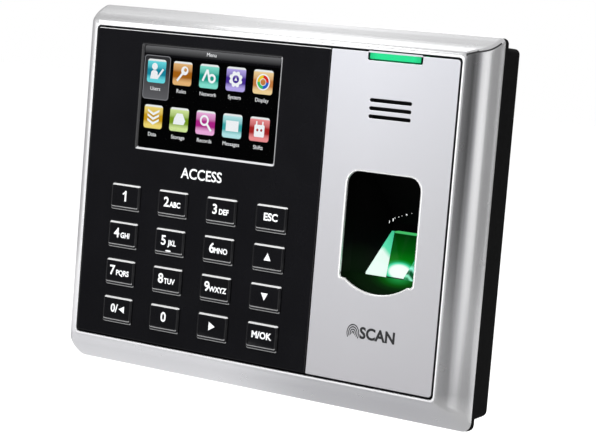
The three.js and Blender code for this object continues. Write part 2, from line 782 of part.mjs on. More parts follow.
function ethernetJack() {
  const { left, right } = ETHERNET;
  const mouth = BAY.top - OVERSHOOT;
  const end = BAY.top + 13;
  const middle = (left + right) / 2;
  const socket = block([left + 2, 14.4, mouth], [right - 2, 22.4, end]);
  const latch = block([middle - 3, 22, mouth], [middle + 3, 24, end]);
  return piece("ethernet_jack", cut(jackBody(ETHERNET), socket, latch), zincSteel);
}

function powerJack() {
  const { left, right, bore } = POWER;
  const socket = post((left + right) / 2, 18.4, bore, BAY.top - OVERSHOOT, BAY.top + 10);
  return piece("power_jack", cut(jackBody(POWER), socket), blackPlastic);
}

function relayTerminals() {
  const { left, right, ways } = RELAYS;
  const pitch = (right - left) / ways;
  const centres = Array.from({ length: ways }, (_, i) => left + (i + 0.5) * pitch);
  const wireHoles = centres.map((x) =>
    block([x - 1.4, 14.6, BAY.top - OVERSHOOT], [x + 1.4, 17.6, BAY.top + 6]),
  );
  const screwWells = centres.map((x) => rod(x, BAY.top + 5, 1.6, BOARD.back + 7, FAR, 10));
  const body = cut(jackBody(RELAYS), ...wireHoles, ...screwWells);
  return piece("relay_terminals", body, connectorGreen);
}

function usbPort() {
  const { x, width, height, front, top } = USB;
  const wall = 1;
  const low = -PANEL.height / 2 - SHELL_PROFILE[2].bottom + 0.8;
  const body = block([x - width / 2, front, low], [x + width / 2, front + height, top]);
  const socket = block(
    [x - width / 2 + wall, front + wall, low - OVERSHOOT],
    [x + width / 2 - wall, front + height - wall, top - 2],
  );
  return piece("usb_port", cut(body, socket), brightSteel);
}

// The USB port stands off the main board on a riser of its own.
function usbRiser() {
  const { halfWidth, bottom, top } = USB_RISER;
  const riser = block(
    [USB.x - halfWidth, BOARD.back + GAP, bottom],
    [USB.x + halfWidth, USB.front - GAP, top],
  );
  return piece("usb_riser_board", riser, circuitBoard);
}

function resetButton() {
  const { x, z, stem, collar } = RESET;
  const collarBack = BOARD.back + 1.4;
  const button = join(
    rod(x, z, collar, BOARD.back + 0.8, collarBack, 12),
    rod(x, z, stem, collarBack - BOND, BAY.floor + 1.2, 12),
  );
  return piece("reset_button", button, whitePlastic);
}

// ---------------------------------------------------------------- housing and fasteners

function casePosts(inside) {
  const { radius, hole, headRoom } = CASE_POST;
  const each = (visit) => CASE_SCREWS.map(([x, z]) => visit(x, z));
  return {
    posts: each((x, z) => rod(x, z, radius, SHELL.front - 0.4, inside + 0.5)),
    holes: [
      ...each((x, z) => rod(x, z, hole, 0, FAR, 12)),
      ...each((x, z) => rod(x, z, headRoom, SCREW.seat, FAR)),
    ],
  };
}

function boardPosts(inside) {
  const { radius, hole, holeEnd } = BOARD_POST;
  return {
    posts: BOARD_SCREWS.map(([x, z]) => rod(x, z, radius, BOARD.back + GAP, inside + 0.5)),
    holes: BOARD_SCREWS.map(([x, z]) => rod(x, z, hole, 0, holeEnd, 12)),
  };
}

// The slots in the housing's back for the bracket's hooks and its lower tab.
function bracketSlots(inside) {
  const reach = HOOK.halfWidth + HOOK_SLOT.margin;
  const past = SHELL.back + OVERSHOOT;
  const hooks = [-HOOK.x, HOOK.x].map((x) =>
    block(
      [x - reach, inside - OVERSHOOT, HOOK_SLOT.bottom],
      [x + reach, past, HOOK_SLOT.top],
    ),
  );
  const tab = block(
    [-TAB.halfWidth - 0.6, inside - OVERSHOOT, TAB.bottom - 6.6],
    [TAB.halfWidth + 0.6, past, TAB.top + 0.4],
  );
  return [...hooks, tab];
}

// The holes in the housing's underside for the lock screw and the USB port.
function undersideHoles() {
  const { depth, shank, head, seat } = LOCK_SCREW;
  const low = -80;
  const lip = -60;
  return [
    post(0, depth, shank + GAP, low, lip),
    post(0, depth, head + GAP, low, seat),
    block(
      [USB.x - USB.width / 2 - GAP, USB.front - GAP, low],
      [USB.x + USB.width / 2 + GAP, USB.front + USB.height + GAP, lip],
    ),
  ];
}

// The cable bay with its walls, and the openings for the jacks and the reset button.
function cableBay(inside) {
  const { left, right, bottom, top, floor } = BAY;
  const wall = 1.8;
  const jackHoles = [ETHERNET, RELAYS, POWER].map((jack) =>
    block(
      [jack.left - GAP, BOARD.back, top - OVERSHOOT],
      [jack.right + GAP, BOARD.back + jack.height + 2 * GAP, top + 5],
    ),
  );
  return {
    walls: block(
      [left - wall, floor - 1.6, bottom - wall],
      [right + wall, inside + 0.5, top + wall],
    ),
    openings: [
      block([left, floor, bottom], [right, SHELL.back + OVERSHOOT, top]),
      rod(RESET.x, RESET.z, RESET.stem + GAP, 0, FAR, 12),
      rod(RESET.x, RESET.z, RESET.collar + 0.4, 0, floor - 0.5, 12),
      ...jackHoles,
    ],
  };
}

function rearHousing() {
  const outer = loft(
    SHELL_PROFILE.map((offset) => ({ ring: panelPoints(offset, 2, 2.5), depth: offset.depth })),
  );
  const inside = SHELL.back - SHELL.wall;
  const room = slab(panelOutline(SHELL_ROOM, 1.5, 1.5), SHELL.front - OVERSHOOT, inside);
  const forCase = casePosts(inside);
  const forBoard = boardPosts(inside);
  const bay = cableBay(inside);
  const shell = join(cut(outer, room), bay.walls, ...forCase.posts, ...forBoard.posts);
  const openings = [...bay.openings, ...forCase.holes, ...forBoard.holes];
  return piece(
    "rear_housing",
    cut(shell, ...openings, ...bracketSlots(inside), ...undersideHoles()),
    blackPlastic,
  );
}

// A pan-head screw along the depth direction, its head at the back.
function caseScrew(x, z, index) {
  const seat = SCREW.seat + GAP;
  const head = rod(x, z, SCREW.head, seat, seat + SCREW.headHeight);
  const shank = rod(x, z, SCREW.shank, SCREW.tip, seat + BOND, 10);
  const cross = [
    [1.6, 0.35],
    [0.35, 1.6],
  ].map(([wide, high]) =>
    block([x - wide, seat + 1.1, z - high], [x + wide, seat + 5, z + high]),
  );
  return piece(`case_screw_${index + 1}`, cut(join(head, shank), ...cross), zincSteel);
}

// A pan-head screw that holds the main board, its head at the front.
function boardScrew(x, z, index) {
  const seat = BOARD.front - GAP;
  const head = rod(x, z, BOARD_SCREW.head, seat - BOARD_SCREW.headHeight, seat, 14);
  const shank = rod(x, z, BOARD_SCREW.shank, seat - BOND, BOARD_SCREW.tip, 10);
  return piece(`board_screw_${index + 1}`, join(head, shank), zincSteel);
}

function lockScrew() {
  const { depth, shank, head, headHeight, top } = LOCK_SCREW;
  const seat = LOCK_SCREW.seat - GAP;
  const screw = join(
    post(0, depth, head, seat - headHeight, seat),
    post(0, depth, shank, seat - BOND, top, 12),
  );
  const drive = post(0, depth, 1.3, seat - headHeight - OVERSHOOT, seat - 0.8, 6);
  return piece("lock_screw", cut(screw, drive), zincSteel);
}

// ---------------------------------------------------------------- wall bracket

function wallBracket() {
  const { left, right, bottom, top, front, corner } = BRACKET;
  const plate = slab(roundedRect(left, right, bottom, top, corner), front, WALL_DEPTH, 3);
  const hooks = [-HOOK.x, HOOK.x].map((x) => {
    const x0 = x - HOOK.halfWidth;
    const x1 = x + HOOK.halfWidth;
    return join(
      block([x0, HOOK.front, HOOK.stemBottom], [x1, front + 0.5, HOOK.stemTop]),
      block([x0, HOOK.front, HOOK.stemBottom], [x1, HOOK.back, HOOK.tip]),
    );
  });
  const hookWindows = [-HOOK.x, HOOK.x].map((x) =>
    block(
      [x - HOOK.halfWidth, front - 0.2, HOOK.stemTop],
      [x + HOOK.halfWidth, WALL_DEPTH + OVERSHOOT, HOOK.tip + 0.4],
    ),
  );
  const tab = block(
    [-TAB.halfWidth, TAB.front, TAB.bottom],
    [TAB.halfWidth, front + 0.5, TAB.top],
  );
  const tabHole = post(0, LOCK_SCREW.depth, TAB.hole, -70, -50);
  const cables = slab(
    roundedRect(BAY.left + 1, BAY.right - 1, BAY.bottom + 1, BAY.top - 1, 2),
    0,
    FAR,
    2,
  );
  const wallHoles = WALL_HOLES.map(([x, z]) => {
    const { width, height } = WALL_HOLE;
    return slab(centredRect(x, z, width, height, height / 2 - 0.01), 0, FAR, 3);
  });
  const whole = join(plate, ...hooks, tab);
  return piece(
    "wall_bracket",
    cut(whole, tabHole, cables, ...hookWindows, ...wallHoles),
    brightSteel,
  );
}

// ---------------------------------------------------------------- assembly

const terminal = new THREE.Group();
terminal.position.set(0, -WALL_DEPTH, PANEL_HEIGHT);
terminal.add(
  frontFrame(),
  keypadFascia(),
  sensorFascia(),
  frontChassis(),
  displayLens(),
  lcdPanel(),
  lcdBacklight(),
  lcdFlex(),
  ...eachKey(keyCap),
  keypadMat(),
  keypadBoard(),
  statusLightBar(),
  statusLedBoard(),
  speaker(),
  speakerGasket(),
  sensorCradle(),
  sensorPrism(),
  lightGuide(),
  lensBarrel(),
  sensorBoard(),
  mainBoard(),
  processorCan(),
  clockBattery(),
  ethernetJack(),
  powerJack(),
  relayTerminals(),
  usbPort(),
  usbRiser(),
  resetButton(),
  rearHousing(),
  ...CASE_SCREWS.map(([x, z], index) => caseScrew(x, z, index)),
  ...BOARD_SCREWS.map(([x, z], index) => boardScrew(x, z, index)),
  lockScrew(),
  wallBracket(),
);

const scanner = new THREE.Group();
scanner.add(terminal);

export default scanner;
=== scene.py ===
import math

import bpy
from mathutils import Matrix, Vector


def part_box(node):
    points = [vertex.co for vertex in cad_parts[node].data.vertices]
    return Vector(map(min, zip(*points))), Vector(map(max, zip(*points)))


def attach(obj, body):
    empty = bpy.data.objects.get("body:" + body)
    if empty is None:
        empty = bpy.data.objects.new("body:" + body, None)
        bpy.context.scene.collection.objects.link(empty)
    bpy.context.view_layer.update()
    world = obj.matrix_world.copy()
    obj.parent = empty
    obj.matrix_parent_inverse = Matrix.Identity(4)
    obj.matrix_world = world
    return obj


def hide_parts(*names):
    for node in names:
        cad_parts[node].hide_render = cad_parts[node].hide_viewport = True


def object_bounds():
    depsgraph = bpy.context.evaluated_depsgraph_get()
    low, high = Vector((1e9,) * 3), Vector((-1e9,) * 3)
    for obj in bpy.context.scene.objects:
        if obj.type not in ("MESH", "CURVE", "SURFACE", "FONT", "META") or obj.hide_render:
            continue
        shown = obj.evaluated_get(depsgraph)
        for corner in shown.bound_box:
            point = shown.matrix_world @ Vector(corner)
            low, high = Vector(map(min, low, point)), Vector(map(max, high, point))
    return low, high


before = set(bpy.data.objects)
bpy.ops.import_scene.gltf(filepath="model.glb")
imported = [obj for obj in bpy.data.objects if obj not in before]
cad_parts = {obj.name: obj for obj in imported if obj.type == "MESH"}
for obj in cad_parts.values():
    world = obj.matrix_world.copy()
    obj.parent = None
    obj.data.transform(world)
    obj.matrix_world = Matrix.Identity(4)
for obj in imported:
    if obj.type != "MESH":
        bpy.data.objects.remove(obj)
cad_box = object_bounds()

# ---------------- places
# Small sizes are in millimetres in panel terms: x to the right, depth behind the front panel's
# plane, and z above the panel's centre. place() turns them into metres in the part's frame.

MM = 0.001
sensor_low, sensor_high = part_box("sensor_fascia")
PANEL_Y = sensor_low.y
PANEL_Z = (sensor_low.z + sensor_high.z) / 2
PANEL_GAP = 0.3  # between the sensor panel and the frame's opening
PANEL_HALF_WIDTH = sensor_high.x / MM + PANEL_GAP
PANEL_HALF_HEIGHT = (sensor_high.z - sensor_low.z) / MM / 2 + PANEL_GAP
PANEL_FOOT = PANEL_Z - PANEL_HALF_HEIGHT * MM
PANEL_HEAD = PANEL_Z + PANEL_HALF_HEIGHT * MM
BACK = 32.0  # depth of the housing's back


def place(x, depth, z):
    return Vector((x * MM, PANEL_Y + depth * MM, PANEL_Z + z * MM))


def panel_box(node):
    """A CAD node's box in panel terms: (left, front, bottom), (right, back, top)."""
    low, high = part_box(node)
    return (
        (low.x / MM, (low.y - PANEL_Y) / MM, (low.z - PANEL_Z) / MM),
        (high.x / MM, (high.y - PANEL_Y) / MM, (high.z - PANEL_Z) / MM),
    )


def centre(node):
    low, high = panel_box(node)
    return tuple((a + b) / 2 for a, b in zip(low, high))


FINGER_X = centre("sensor_prism")[0]


# ---------------- camera

CAMERA_TURN = math.radians(33.11)  # how far round to the object's right the camera stands
CAMERA_RISE = math.radians(5.68)
CAMERA_ROLL = math.radians(4.72)
CAMERA_OFFSET = (-15.57, -5.93, 763.4)  # the panel's centre as the camera sees it: right, down, away
SENSOR_WIDTH = 36.0
LENS = 123.2


def add_camera():
    look = (
        Matrix.Rotation(CAMERA_ROLL, 3, "Z")
        @ Matrix.Rotation(CAMERA_RISE, 3, "X")
        @ Matrix.Rotation(CAMERA_TURN, 3, "Y")
        @ Matrix(((1, 0, 0), (0, 0, -1), (0, 1, 0)))
    )
    right, down, away = look.row
    spot = -(look.transposed() @ Vector(CAMERA_OFFSET))
    axes = Matrix((right, -down, -away)).transposed().to_4x4()
    data = bpy.data.cameras.new("camera")
    data.sensor_width = SENSOR_WIDTH
    data.lens = LENS
    camera = bpy.data.objects.new("camera", data)
    bpy.context.scene.collection.objects.link(camera)
    camera.matrix_world = Matrix.Translation(place(*spot)) @ axes
    bpy.context.scene.camera = camera


# ---------------- node materials


class Nodes:
    """A node tree that is built from scratch."""

    def __init__(self, tree):
        self.tree = tree
        tree.nodes.clear()

    def feed(self, socket, value):
        """Gives an input a fixed value or links another node's output to it."""
        if isinstance(value, bpy.types.NodeSocket):
            self.tree.links.new(value, socket)
        else:
            socket.default_value = value

    def node(self, kind, inputs=None, **settings):
        made = self.tree.nodes.new(kind)
        for key, value in settings.items():
            setattr(made, key, value)
        for socket, value in (inputs or {}).items():
            self.feed(made.inputs[socket], value)
        return made

    def ramp(self, factor, stops):
        made = self.node("ShaderNodeValToRGB", {"Fac": factor})
        elements = made.color_ramp.elements
        while len(elements) < len(stops):
            elements.new(0.5)
        for element, (spot, color) in zip(elements, stops):
            element.position = spot
            element.color = (*color, 1)
        return made.outputs["Color"]


class Look(Nodes):
    """A node material built round one Principled shader."""

    def __init__(self, name, color, roughness, metallic=0.0):
        self.material = bpy.data.materials.new(name)
        self.material.use_nodes = True
        super().__init__(self.material.node_tree)
        self.shader = self.node("ShaderNodeBsdfPrincipled", {
            "Base Color": (*color, 1), "Roughness": roughness, "Metallic": metallic,
        })
        self.node("ShaderNodeOutputMaterial", {"Surface": self.shader.outputs[0]})
        self.color = color
        self.roughness = roughness

    def set(self, socket, value):
        self.feed(self.shader.inputs[socket], value)
        return self

    def position(self):
        return self.node("ShaderNodeNewGeometry").outputs["Position"]

    def noise(self, scale, detail=3.0, roughness=0.5):
        return self.node("ShaderNodeTexNoise", {
            "Scale": scale, "Detail": detail, "Roughness": roughness, "Vector": self.position(),
        }).outputs["Fac"]

    def vary_color(self, amount, scale):
        """Slight cloudy change of the base colour."""
        low = [c * (1 - amount) for c in self.color]
        high = [min(1, c * (1 + amount)) for c in self.color]
        return self.set("Base Color", self.ramp(self.noise(scale), [(0.3, low), (0.7, high)]))

    def vary_roughness(self, amount, scale):
        made = self.node("ShaderNodeMapRange", {
            "To Min": self.roughness - amount, "To Max": self.roughness + amount,
            "Value": self.noise(scale, 5),
        })
        return self.set("Roughness", made.outputs["Result"])

    def bump(self, height, distance, strength):
        made = self.node("ShaderNodeBump", {"Distance": distance, "Strength": strength, "Height": height})
        return self.set("Normal", made.outputs["Normal"])

    def grain(self, scale, distance, strength):
        return self.bump(self.noise(scale, 2, 0.6), distance, strength)

    def glow(self, color, strength=1.0):
        return self.set("Emission Color", color).set("Emission Strength", strength)

    def between(self, value, low, high):
        """A factor from 0 where the value is low to 1 where it is high."""
        made = self.node("ShaderNodeMapRange", {"From Min": low, "From Max": high, "Value": value})
        return made.outputs["Result"]

    def along(self, axis, low, high):
        """A factor from 0 at low to 1 at high, in metres along an axis of the part."""
        split = self.node("ShaderNodeSeparateXYZ", {"Vector": self.position()})
        return self.between(split.outputs[axis], low, high)

    def vector_math(self, operation, output, *vectors):
        made = self.node("ShaderNodeVectorMath", dict(enumerate(vectors)), operation=operation)
        return made.outputs[output]

    def distance(self, spot, stretch, reach):
        """A factor from 0 at a spot to 1 at the reach, with each axis stretched by its own amount."""
        away = self.vector_math("SUBTRACT", "Vector", self.position(), spot)
        scaled = self.vector_math("MULTIPLY", "Vector", away, stretch)
        return self.between(self.vector_math("LENGTH", "Value", scaled), 0, reach)

    def mix(self, factor, first, second):
        """One colour turning into another; a mix node's colour sockets are 6, 7 and, for output, 2."""
        made = self.node("ShaderNodeMix", {"Factor": factor, 6: first, 7: second}, data_type="RGBA")
        return made.outputs[2]


WHITE = (1, 1, 1, 1)
FRAME_SILVER = (0.7, 0.7, 0.71)
SHADE_START = 0.045  # x, in metres, from where the panel's painted shade grows darker towards its right
FADE_HEIGHT = 0.09  # over which the cove's weaker lower painted shade and highlight turn into its stronger upper ones


def silver_paint(name, color, roughness, metallic):
    look = Look(name, color, roughness, metallic).vary_color(0.01, 60).vary_roughness(0.01, 200)
    return look.grain(9000, 0.000001, 0.01).set("Coat Weight", 0.2).set("Coat Roughness", 0.2)


def shaded_panel_look():
    """The sensor panel's flat silver with painted shade: lighter towards its top and its left."""
    look = silver_paint("panel_shaded_silver", (0.5, 0.5, 0.52), 0.42, 0.3)
    rise = look.along("Z", PANEL_FOOT, PANEL_HEAD)
    left = look.ramp(rise, [(0.0, (0.47, 0.465, 0.485)), (0.5, (0.53, 0.53, 0.555)),
                            (1.0, (0.61, 0.615, 0.655))])
    right = look.ramp(rise, [(0.0, (0.44, 0.435, 0.455)), (0.5, (0.475, 0.475, 0.495)),
                             (1.0, (0.53, 0.535, 0.57))])
    across = look.along("X", SHADE_START, PANEL_HALF_WIDTH * MM)
    return look.set("Base Color", look.mix(across, left, right))


def shaded_cove_look():
    """The frame's silver on its right side, thinner and darker down the cove by the panel: a painted shade
    band with painted highlights beside it, both weaker low down.
    """
    look = silver_paint("cove_shaded_silver", FRAME_SILVER, 0.27, 0.95)
    across = look.along("X", PANEL_HALF_WIDTH * MM, (PANEL_HALF_WIDTH + 10) * MM)
    upper = look.ramp(across, [
        (0.0, (0.6, 0.6, 0.61)), (0.1, (0.45, 0.45, 0.46)), (0.2, (0.34, 0.34, 0.35)),
        (0.3, (0.17, 0.17, 0.175)), (0.4, (0.13, 0.13, 0.135)), (0.48, (0.28, 0.28, 0.29)),
        (0.58, (0.62, 0.62, 0.63)), (0.65, (0.72, 0.72, 0.73)), (0.8, (0.74, 0.74, 0.75)),
        (1.0, (0.74, 0.74, 0.75)),
    ])
    lower = look.ramp(across, [
        (0.0, (0.5, 0.5, 0.51)), (0.12, (0.48, 0.48, 0.49)), (0.25, (0.4, 0.4, 0.41)),
        (0.38, (0.34, 0.34, 0.35)), (0.5, (0.38, 0.38, 0.39)), (0.62, (0.48, 0.48, 0.49)),
        (0.8, (0.48, 0.48, 0.49)), (1.0, (0.5, 0.5, 0.51)),
    ])
    tone = look.mix(look.along("Z", PANEL_FOOT, PANEL_FOOT + FADE_HEIGHT), lower, upper)
    rise = look.along("Z", PANEL_FOOT - 5 * MM, PANEL_FOOT + 2 * MM)
    return look.set("Base Color", look.mix(rise, (*FRAME_SILVER, 1), tone))


def shaded_left_slope_look():
    """The frame's silver on its left side, with painted shade: darker towards the back."""
    look = silver_paint("left_shaded_silver", FRAME_SILVER, 0.3, 0.8)
    across = look.along("X", -(PANEL_HALF_WIDTH + 10) * MM, -PANEL_HALF_WIDTH * MM)
    tone = look.ramp(across, [(0.0, (0.3, 0.29, 0.31)), (0.3, (0.36, 0.35, 0.37)),
                              (0.6, (0.55, 0.54, 0.56)), (0.85, (0.85, 0.85, 0.86))])
    return look.set("Base Color", tone)


def gloss_black(name, level):
    look = Look(name, (0.0055, 0.0055, 0.0065), 0.09).vary_color(0.1, 60).vary_roughness(0.02, 300)
    return look.grain(120, 0.00004, 0.05).set("Specular IOR Level", level)


def moulded(name, color, roughness=0.55, grain=2600, depth=0.00003, level=0.4):
    look = Look(name, color, roughness).vary_color(0.08, 140).vary_roughness(0.05, 700)
    return look.grain(grain, depth, 0.6).set("Specular IOR Level", level)


def shell_plastic():
    """The housing's black: dull on the sides and a shade greyer on the back."""
    look = moulded("shell_black", (0.005, 0.005, 0.005), 0.6, 2200, 0.00004, 0.012)
    back = look.along("Y", place(0, BACK - 1.4, 0).y, place(0, BACK - 0.2, 0).y)
    cloud = look.ramp(look.noise(900), [(0.35, (0.011, 0.011, 0.012)), (0.65, (0.019, 0.019, 0.02))])
    side = look.ramp(look.noise(500), [(0.3, (0.0062, 0.0063, 0.0063)), (0.7, (0.0082, 0.0082, 0.0084))])
    return look.set("Base Color", look.mix(back, side, cloud))


def plated(name, color, roughness):
    look = Look(name, color, roughness, 1.0).vary_color(0.06, 220).vary_roughness(0.08, 900)
    return look.grain(1500, 0.00001, 0.3)


# a matte look for real print and labels, and also for painted highlight lines and glints
def print_and_highlight(name, color):
    return Look(name, color, 0.45).vary_color(0.04, 700).grain(5000, 0.000005, 0.2)


def circuit_look():
    """Green solder resist with a brick pattern of paler traces."""
    look = Look("solder_resist", (0.01, 0.11, 0.045), 0.32)
    turned = look.node("ShaderNodeMapping", {
        "Rotation": (math.pi / 2, 0, 0), "Vector": look.position(),
    })
    traces = look.node("ShaderNodeTexBrick", {
        "Scale": 260, "Mortar Size": 0.012, "Color1": (0.008, 0.1, 0.04, 1),
        "Color2": (0.012, 0.13, 0.055, 1), "Mortar": (0.02, 0.2, 0.09, 1),
        "Vector": turned.outputs["Vector"],
    })
    look.set("Base Color", traces.outputs["Color"])
    return look.bump(traces.outputs["Fac"], 0.00003, 0.4)


def clear_look(name, tint):
    look = Look(name, tint, 0.02).set("Transmission Weight", 1.0).set("IOR", 1.12)
    return look.grain(90, 0.00002, 0.03)


# ---------------- looks that give light: the display's and the status light's own, and painted glow and glints round the finger sensor

SILL_GLOW = (60, 7.6, -21)  # where the painted glow on the sill is brightest
LAMP_POOL = (52.3, 20.4, -20.0)  # where the lamp shows through the platen
CHEEK_UP = Vector((0, 0.55, 0.83))  # the way the cheeks' shading runs, back and up
CHEEK_ENDS = ((0, 7.4, -20), (0, 23.7, -5.6))


def screen_look(name):
    return Look(name, (0, 0, 0), 0.4).set("Specular IOR Level", 0.0)


def lit(name, color):
    """A lit patch of the display, with the faint unevenness of its backlight."""
    look = screen_look(name)
    low = [c * 0.94 for c in color]
    return look.glow(look.ramp(look.noise(60), [(0.3, low), (0.7, color)]))


def lit_fade(name, foot, head, bottom, top):
    """A lit patch that fades from its foot to its head."""
    look = screen_look(name)
    rise = look.along("Z", place(0, 0, bottom).z, place(0, 0, top).z)
    return look.glow(look.ramp(rise, [(0.0, foot), (1.0, head)]))


def icon_look(name, light, deep, low, high):
    """A glossy icon tile: a gleam along its top, light at its head and foot, deep between."""
    look = screen_look(name)
    mid = [(a + b) / 2 for a, b in zip(light, deep)]
    gleam = (0.9, 0.92, 0.9)
    return look.glow(look.ramp(look.along("Z", low, high), [
        (0.0, light), (0.14, light), (0.26, mid), (0.34, deep), (0.55, deep), (0.66, mid),
        (0.9, light), (0.93, gleam), (1.0, gleam),
    ]), 0.9)


def cradle_look():
    """The finger recess's black, with a painted glow where the sensor's light spills onto its sill."""
    look = moulded("cradle_black", (0.0008, 0.0008, 0.0008), 0.55, 3000, 0.00002, 0.03)
    near = look.distance(place(*SILL_GLOW), (0.45, 1.0, 1.0), 0.015)
    return look.glow(look.ramp(near, [
        (0.0, (0.02, 0.34, 0.08)), (0.1, (0.006, 0.2, 0.03)), (0.19, (0.001, 0.08, 0.003)),
        (0.28, (0.001, 0.026, 0.002)), (0.38, (0.0008, 0.01, 0.001)), (0.6, (0.0008, 0.006, 0.001)),
        (0.8, (0.0005, 0.003, 0.0005)), (1.0, (0, 0, 0)),
    ]))


def status_look():
    look = Look("status_green", (0.01, 0.2, 0.08), 0.25)
    low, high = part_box("status_light_bar")
    dim, bright = (0.025, 0.58, 0.23), (0.035, 0.8, 0.33)
    look.glow(look.ramp(look.along("X", low.x, high.x),
                        [(0.0, dim), (0.15, bright), (0.85, bright), (1.0, dim)]))
    return look.grain(300, 0.00002, 0.1)


def platen_look():
    """The glass face, with the sensor lamp's light painted on as glow: dark green above, bright green
    below, and the lamp's white pool at its foot.
    """
    low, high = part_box("sensor_prism")
    look = Look("platen_green", (0.0, 0.01, 0.002), 0.12).set("Specular IOR Level", 0.12)
    band = look.ramp(look.along("Z", low.z, high.z), [
        (0.0, (0.01, 0.3, 0.08)), (0.2, (0.004, 0.3, 0.02)), (0.36, (0.001, 0.17, 0.003)),
        (0.6, (0.0, 0.07, 0.001)), (0.955, (0.0, 0.022, 0.001)), (0.97, (0.06, 0.5, 0.14)),
        (1.0, (0.06, 0.5, 0.14)),
    ])
    pool = look.distance(place(*LAMP_POOL), (1.0, 0.0, 1.75), 0.008)
    white = look.ramp(pool, [(0.0, (0.95, 1.0, 0.97)), (0.5, (0.9, 1.0, 0.95)),
                             (0.66, (0.08, 0.75, 0.42)), (0.8, (0.01, 0.35, 0.1)), (1.0, (0, 0.3, 0.02))])
    edge = look.ramp(pool, [(0.0, (0, 0, 0)), (0.75, (0, 0, 0)), (1.0, (1, 1, 1))])
    return look.glow(look.mix(edge, white, band)).grain(40, 0.00003, 0.05)


def cheek_look():
    """The light guide, with painted light: its left cheek glows white as if lit, and its right one shows
    only painted glints along its edges.
    """
    look = Look("cheek_glow", (0.02, 0.06, 0.04), 0.15).set("Specular IOR Level", 0.2)
    climb = look.vector_math("DOT_PRODUCT", "Value", look.position(), CHEEK_UP)
    shade = look.between(climb, *(CHEEK_UP.dot(place(*end)) for end in CHEEK_ENDS))
    left = look.ramp(shade, [
        (0.0, (0.8, 0.95, 0.88)), (0.52, (0.8, 0.95, 0.88)), (0.62, (0.1, 0.72, 0.42)),
        (1.0, (0.04, 0.5, 0.26)),
    ])
    right = look.ramp(shade, [
        (0.0, (0.01, 0.2, 0.06)), (0.05, (0.3, 0.9, 0.6)), (0.1, (0.0, 0.06, 0.012)),
        (0.16, (0.0, 0.09, 0.02)), (0.22, (0.3, 0.95, 0.7)), (0.3, (0.02, 0.3, 0.1)),
        (0.42, (0.05, 0.6, 0.35)), (1.0, (0.0, 0.1, 0.03)),
    ])
    side = look.along("X", (FINGER_X - 1) * MM, (FINGER_X + 1) * MM)
    return look.glow(look.mix(side, left, right)).grain(60, 0.00002, 0.1)


# ---------------- table of looks

LOOKS = {
    "frame": silver_paint("frame_silver", FRAME_SILVER, 0.27, 0.95),
    "cove": shaded_cove_look(),
    "left_slope": shaded_left_slope_look(),
    # a painted highlight line along the frame's front lip
    "rim": print_and_highlight("frame_lip_highlight", (0.72, 0.72, 0.73)),
    "panel": shaded_panel_look(),
    "lip": silver_paint("lip_silver", (0.95, 0.95, 0.95), 0.15, 0.6),
    "fascia": gloss_black("fascia_black", 0.2),
    "key": gloss_black("key_black", 0.2),
    "shell": shell_plastic(),
    # painted highlight lines on the keys' chamfers and the fascia's top edge
    "edge": print_and_highlight("edge_highlight", (0.45, 0.45, 0.45)),
    "foot_edge": print_and_highlight("foot_edge_highlight", (0.36, 0.36, 0.36)),
    "chassis": moulded("chassis_black", (0.02, 0.02, 0.021)),
    "white_plastic": moulded("white_plastic", (0.75, 0.75, 0.72), 0.45),
    "silicone": moulded("silicone_grey", (0.06, 0.06, 0.065), 0.75, 900, 0.00003, 0.3),
    "zinc": plated("zinc_plate", (0.58, 0.6, 0.62), 0.32),
    "nickel": plated("nickel_plate", (0.72, 0.72, 0.72), 0.2),
    "sheet": plated("galvanised_sheet", (0.6, 0.61, 0.63), 0.38),
    "gold": plated("gold_contact", (0.85, 0.6, 0.2), 0.25),
    "film": moulded("amber_film", (0.45, 0.18, 0.03), 0.3, 500, 0.00001),
    "board": circuit_look(),
    "terminal_green": moulded("terminal_green", (0.01, 0.2, 0.07), 0.5),
    "speaker": moulded("speaker_cone", (0.015, 0.015, 0.016), 0.7, 700, 0.00005),
    "legend": print_and_highlight("legend_white", (0.86, 0.87, 0.88)),
    "mark": print_and_highlight("mark_black", (0.012, 0.012, 0.013)),
    # small glowing beads: painted glints
    "bead": print_and_highlight("glint_bead", (0.85, 0.9, 0.88)).glow(WHITE, 0.6),
    "label": print_and_highlight("label_paper", (0.62, 0.62, 0.6)),
    "window": clear_look("display_window", (0.97, 0.98, 1.0)),
    "bevel": gloss_black("bevel_black", 0.6),
    # painted highlights, faintly glowing, on the window bevel's foot and right side
    "foot_bevel_highlight": print_and_highlight("foot_bevel_highlight", (0.3, 0.3, 0.31)).glow(WHITE, 0.17),
    "side_bevel_highlight": print_and_highlight("side_bevel_highlight", (0.25, 0.25, 0.26)).glow(WHITE, 0.16),
    "lit_title": lit_fade("screen_title", (0.004, 0.004, 0.005), (0.15, 0.15, 0.152), 51.6, 54.9),
    "lit_choice": lit_fade("screen_choice", (0.11, 0.11, 0.115), (0.03, 0.03, 0.032), 34.5, 47),
    "cradle": cradle_look(),
    "status": status_look(),
    "platen": platen_look(),
    "cheek": cheek_look(),
}
SCREEN_COLORS = {
    "black": (0.0008, 0.0009, 0.001), "rim": (0.22, 0.22, 0.23), "white": (0.9, 0.92, 0.92),
    "label": (0.95, 0.95, 0.95), "red": (0.7, 0.03, 0.02), "yellow": (0.85, 0.6, 0.03),
    "green": (0.05, 0.5, 0.12), "blue": (0.02, 0.12, 0.55),
}
for name, color in SCREEN_COLORS.items():
    LOOKS["lit_" + name] = lit("screen_" + name, color)


# ---------------- mesh making

# an edge stays sharp, is flattened away or is rounded by the angle in degrees between its faces
PLATE_CREASE = 40.0
FLAT_ANGLE = 1.0
ROUND_ANGLE = 30.0
WELD_REACH = 0.000005
PRINT_PROUD = 0.015


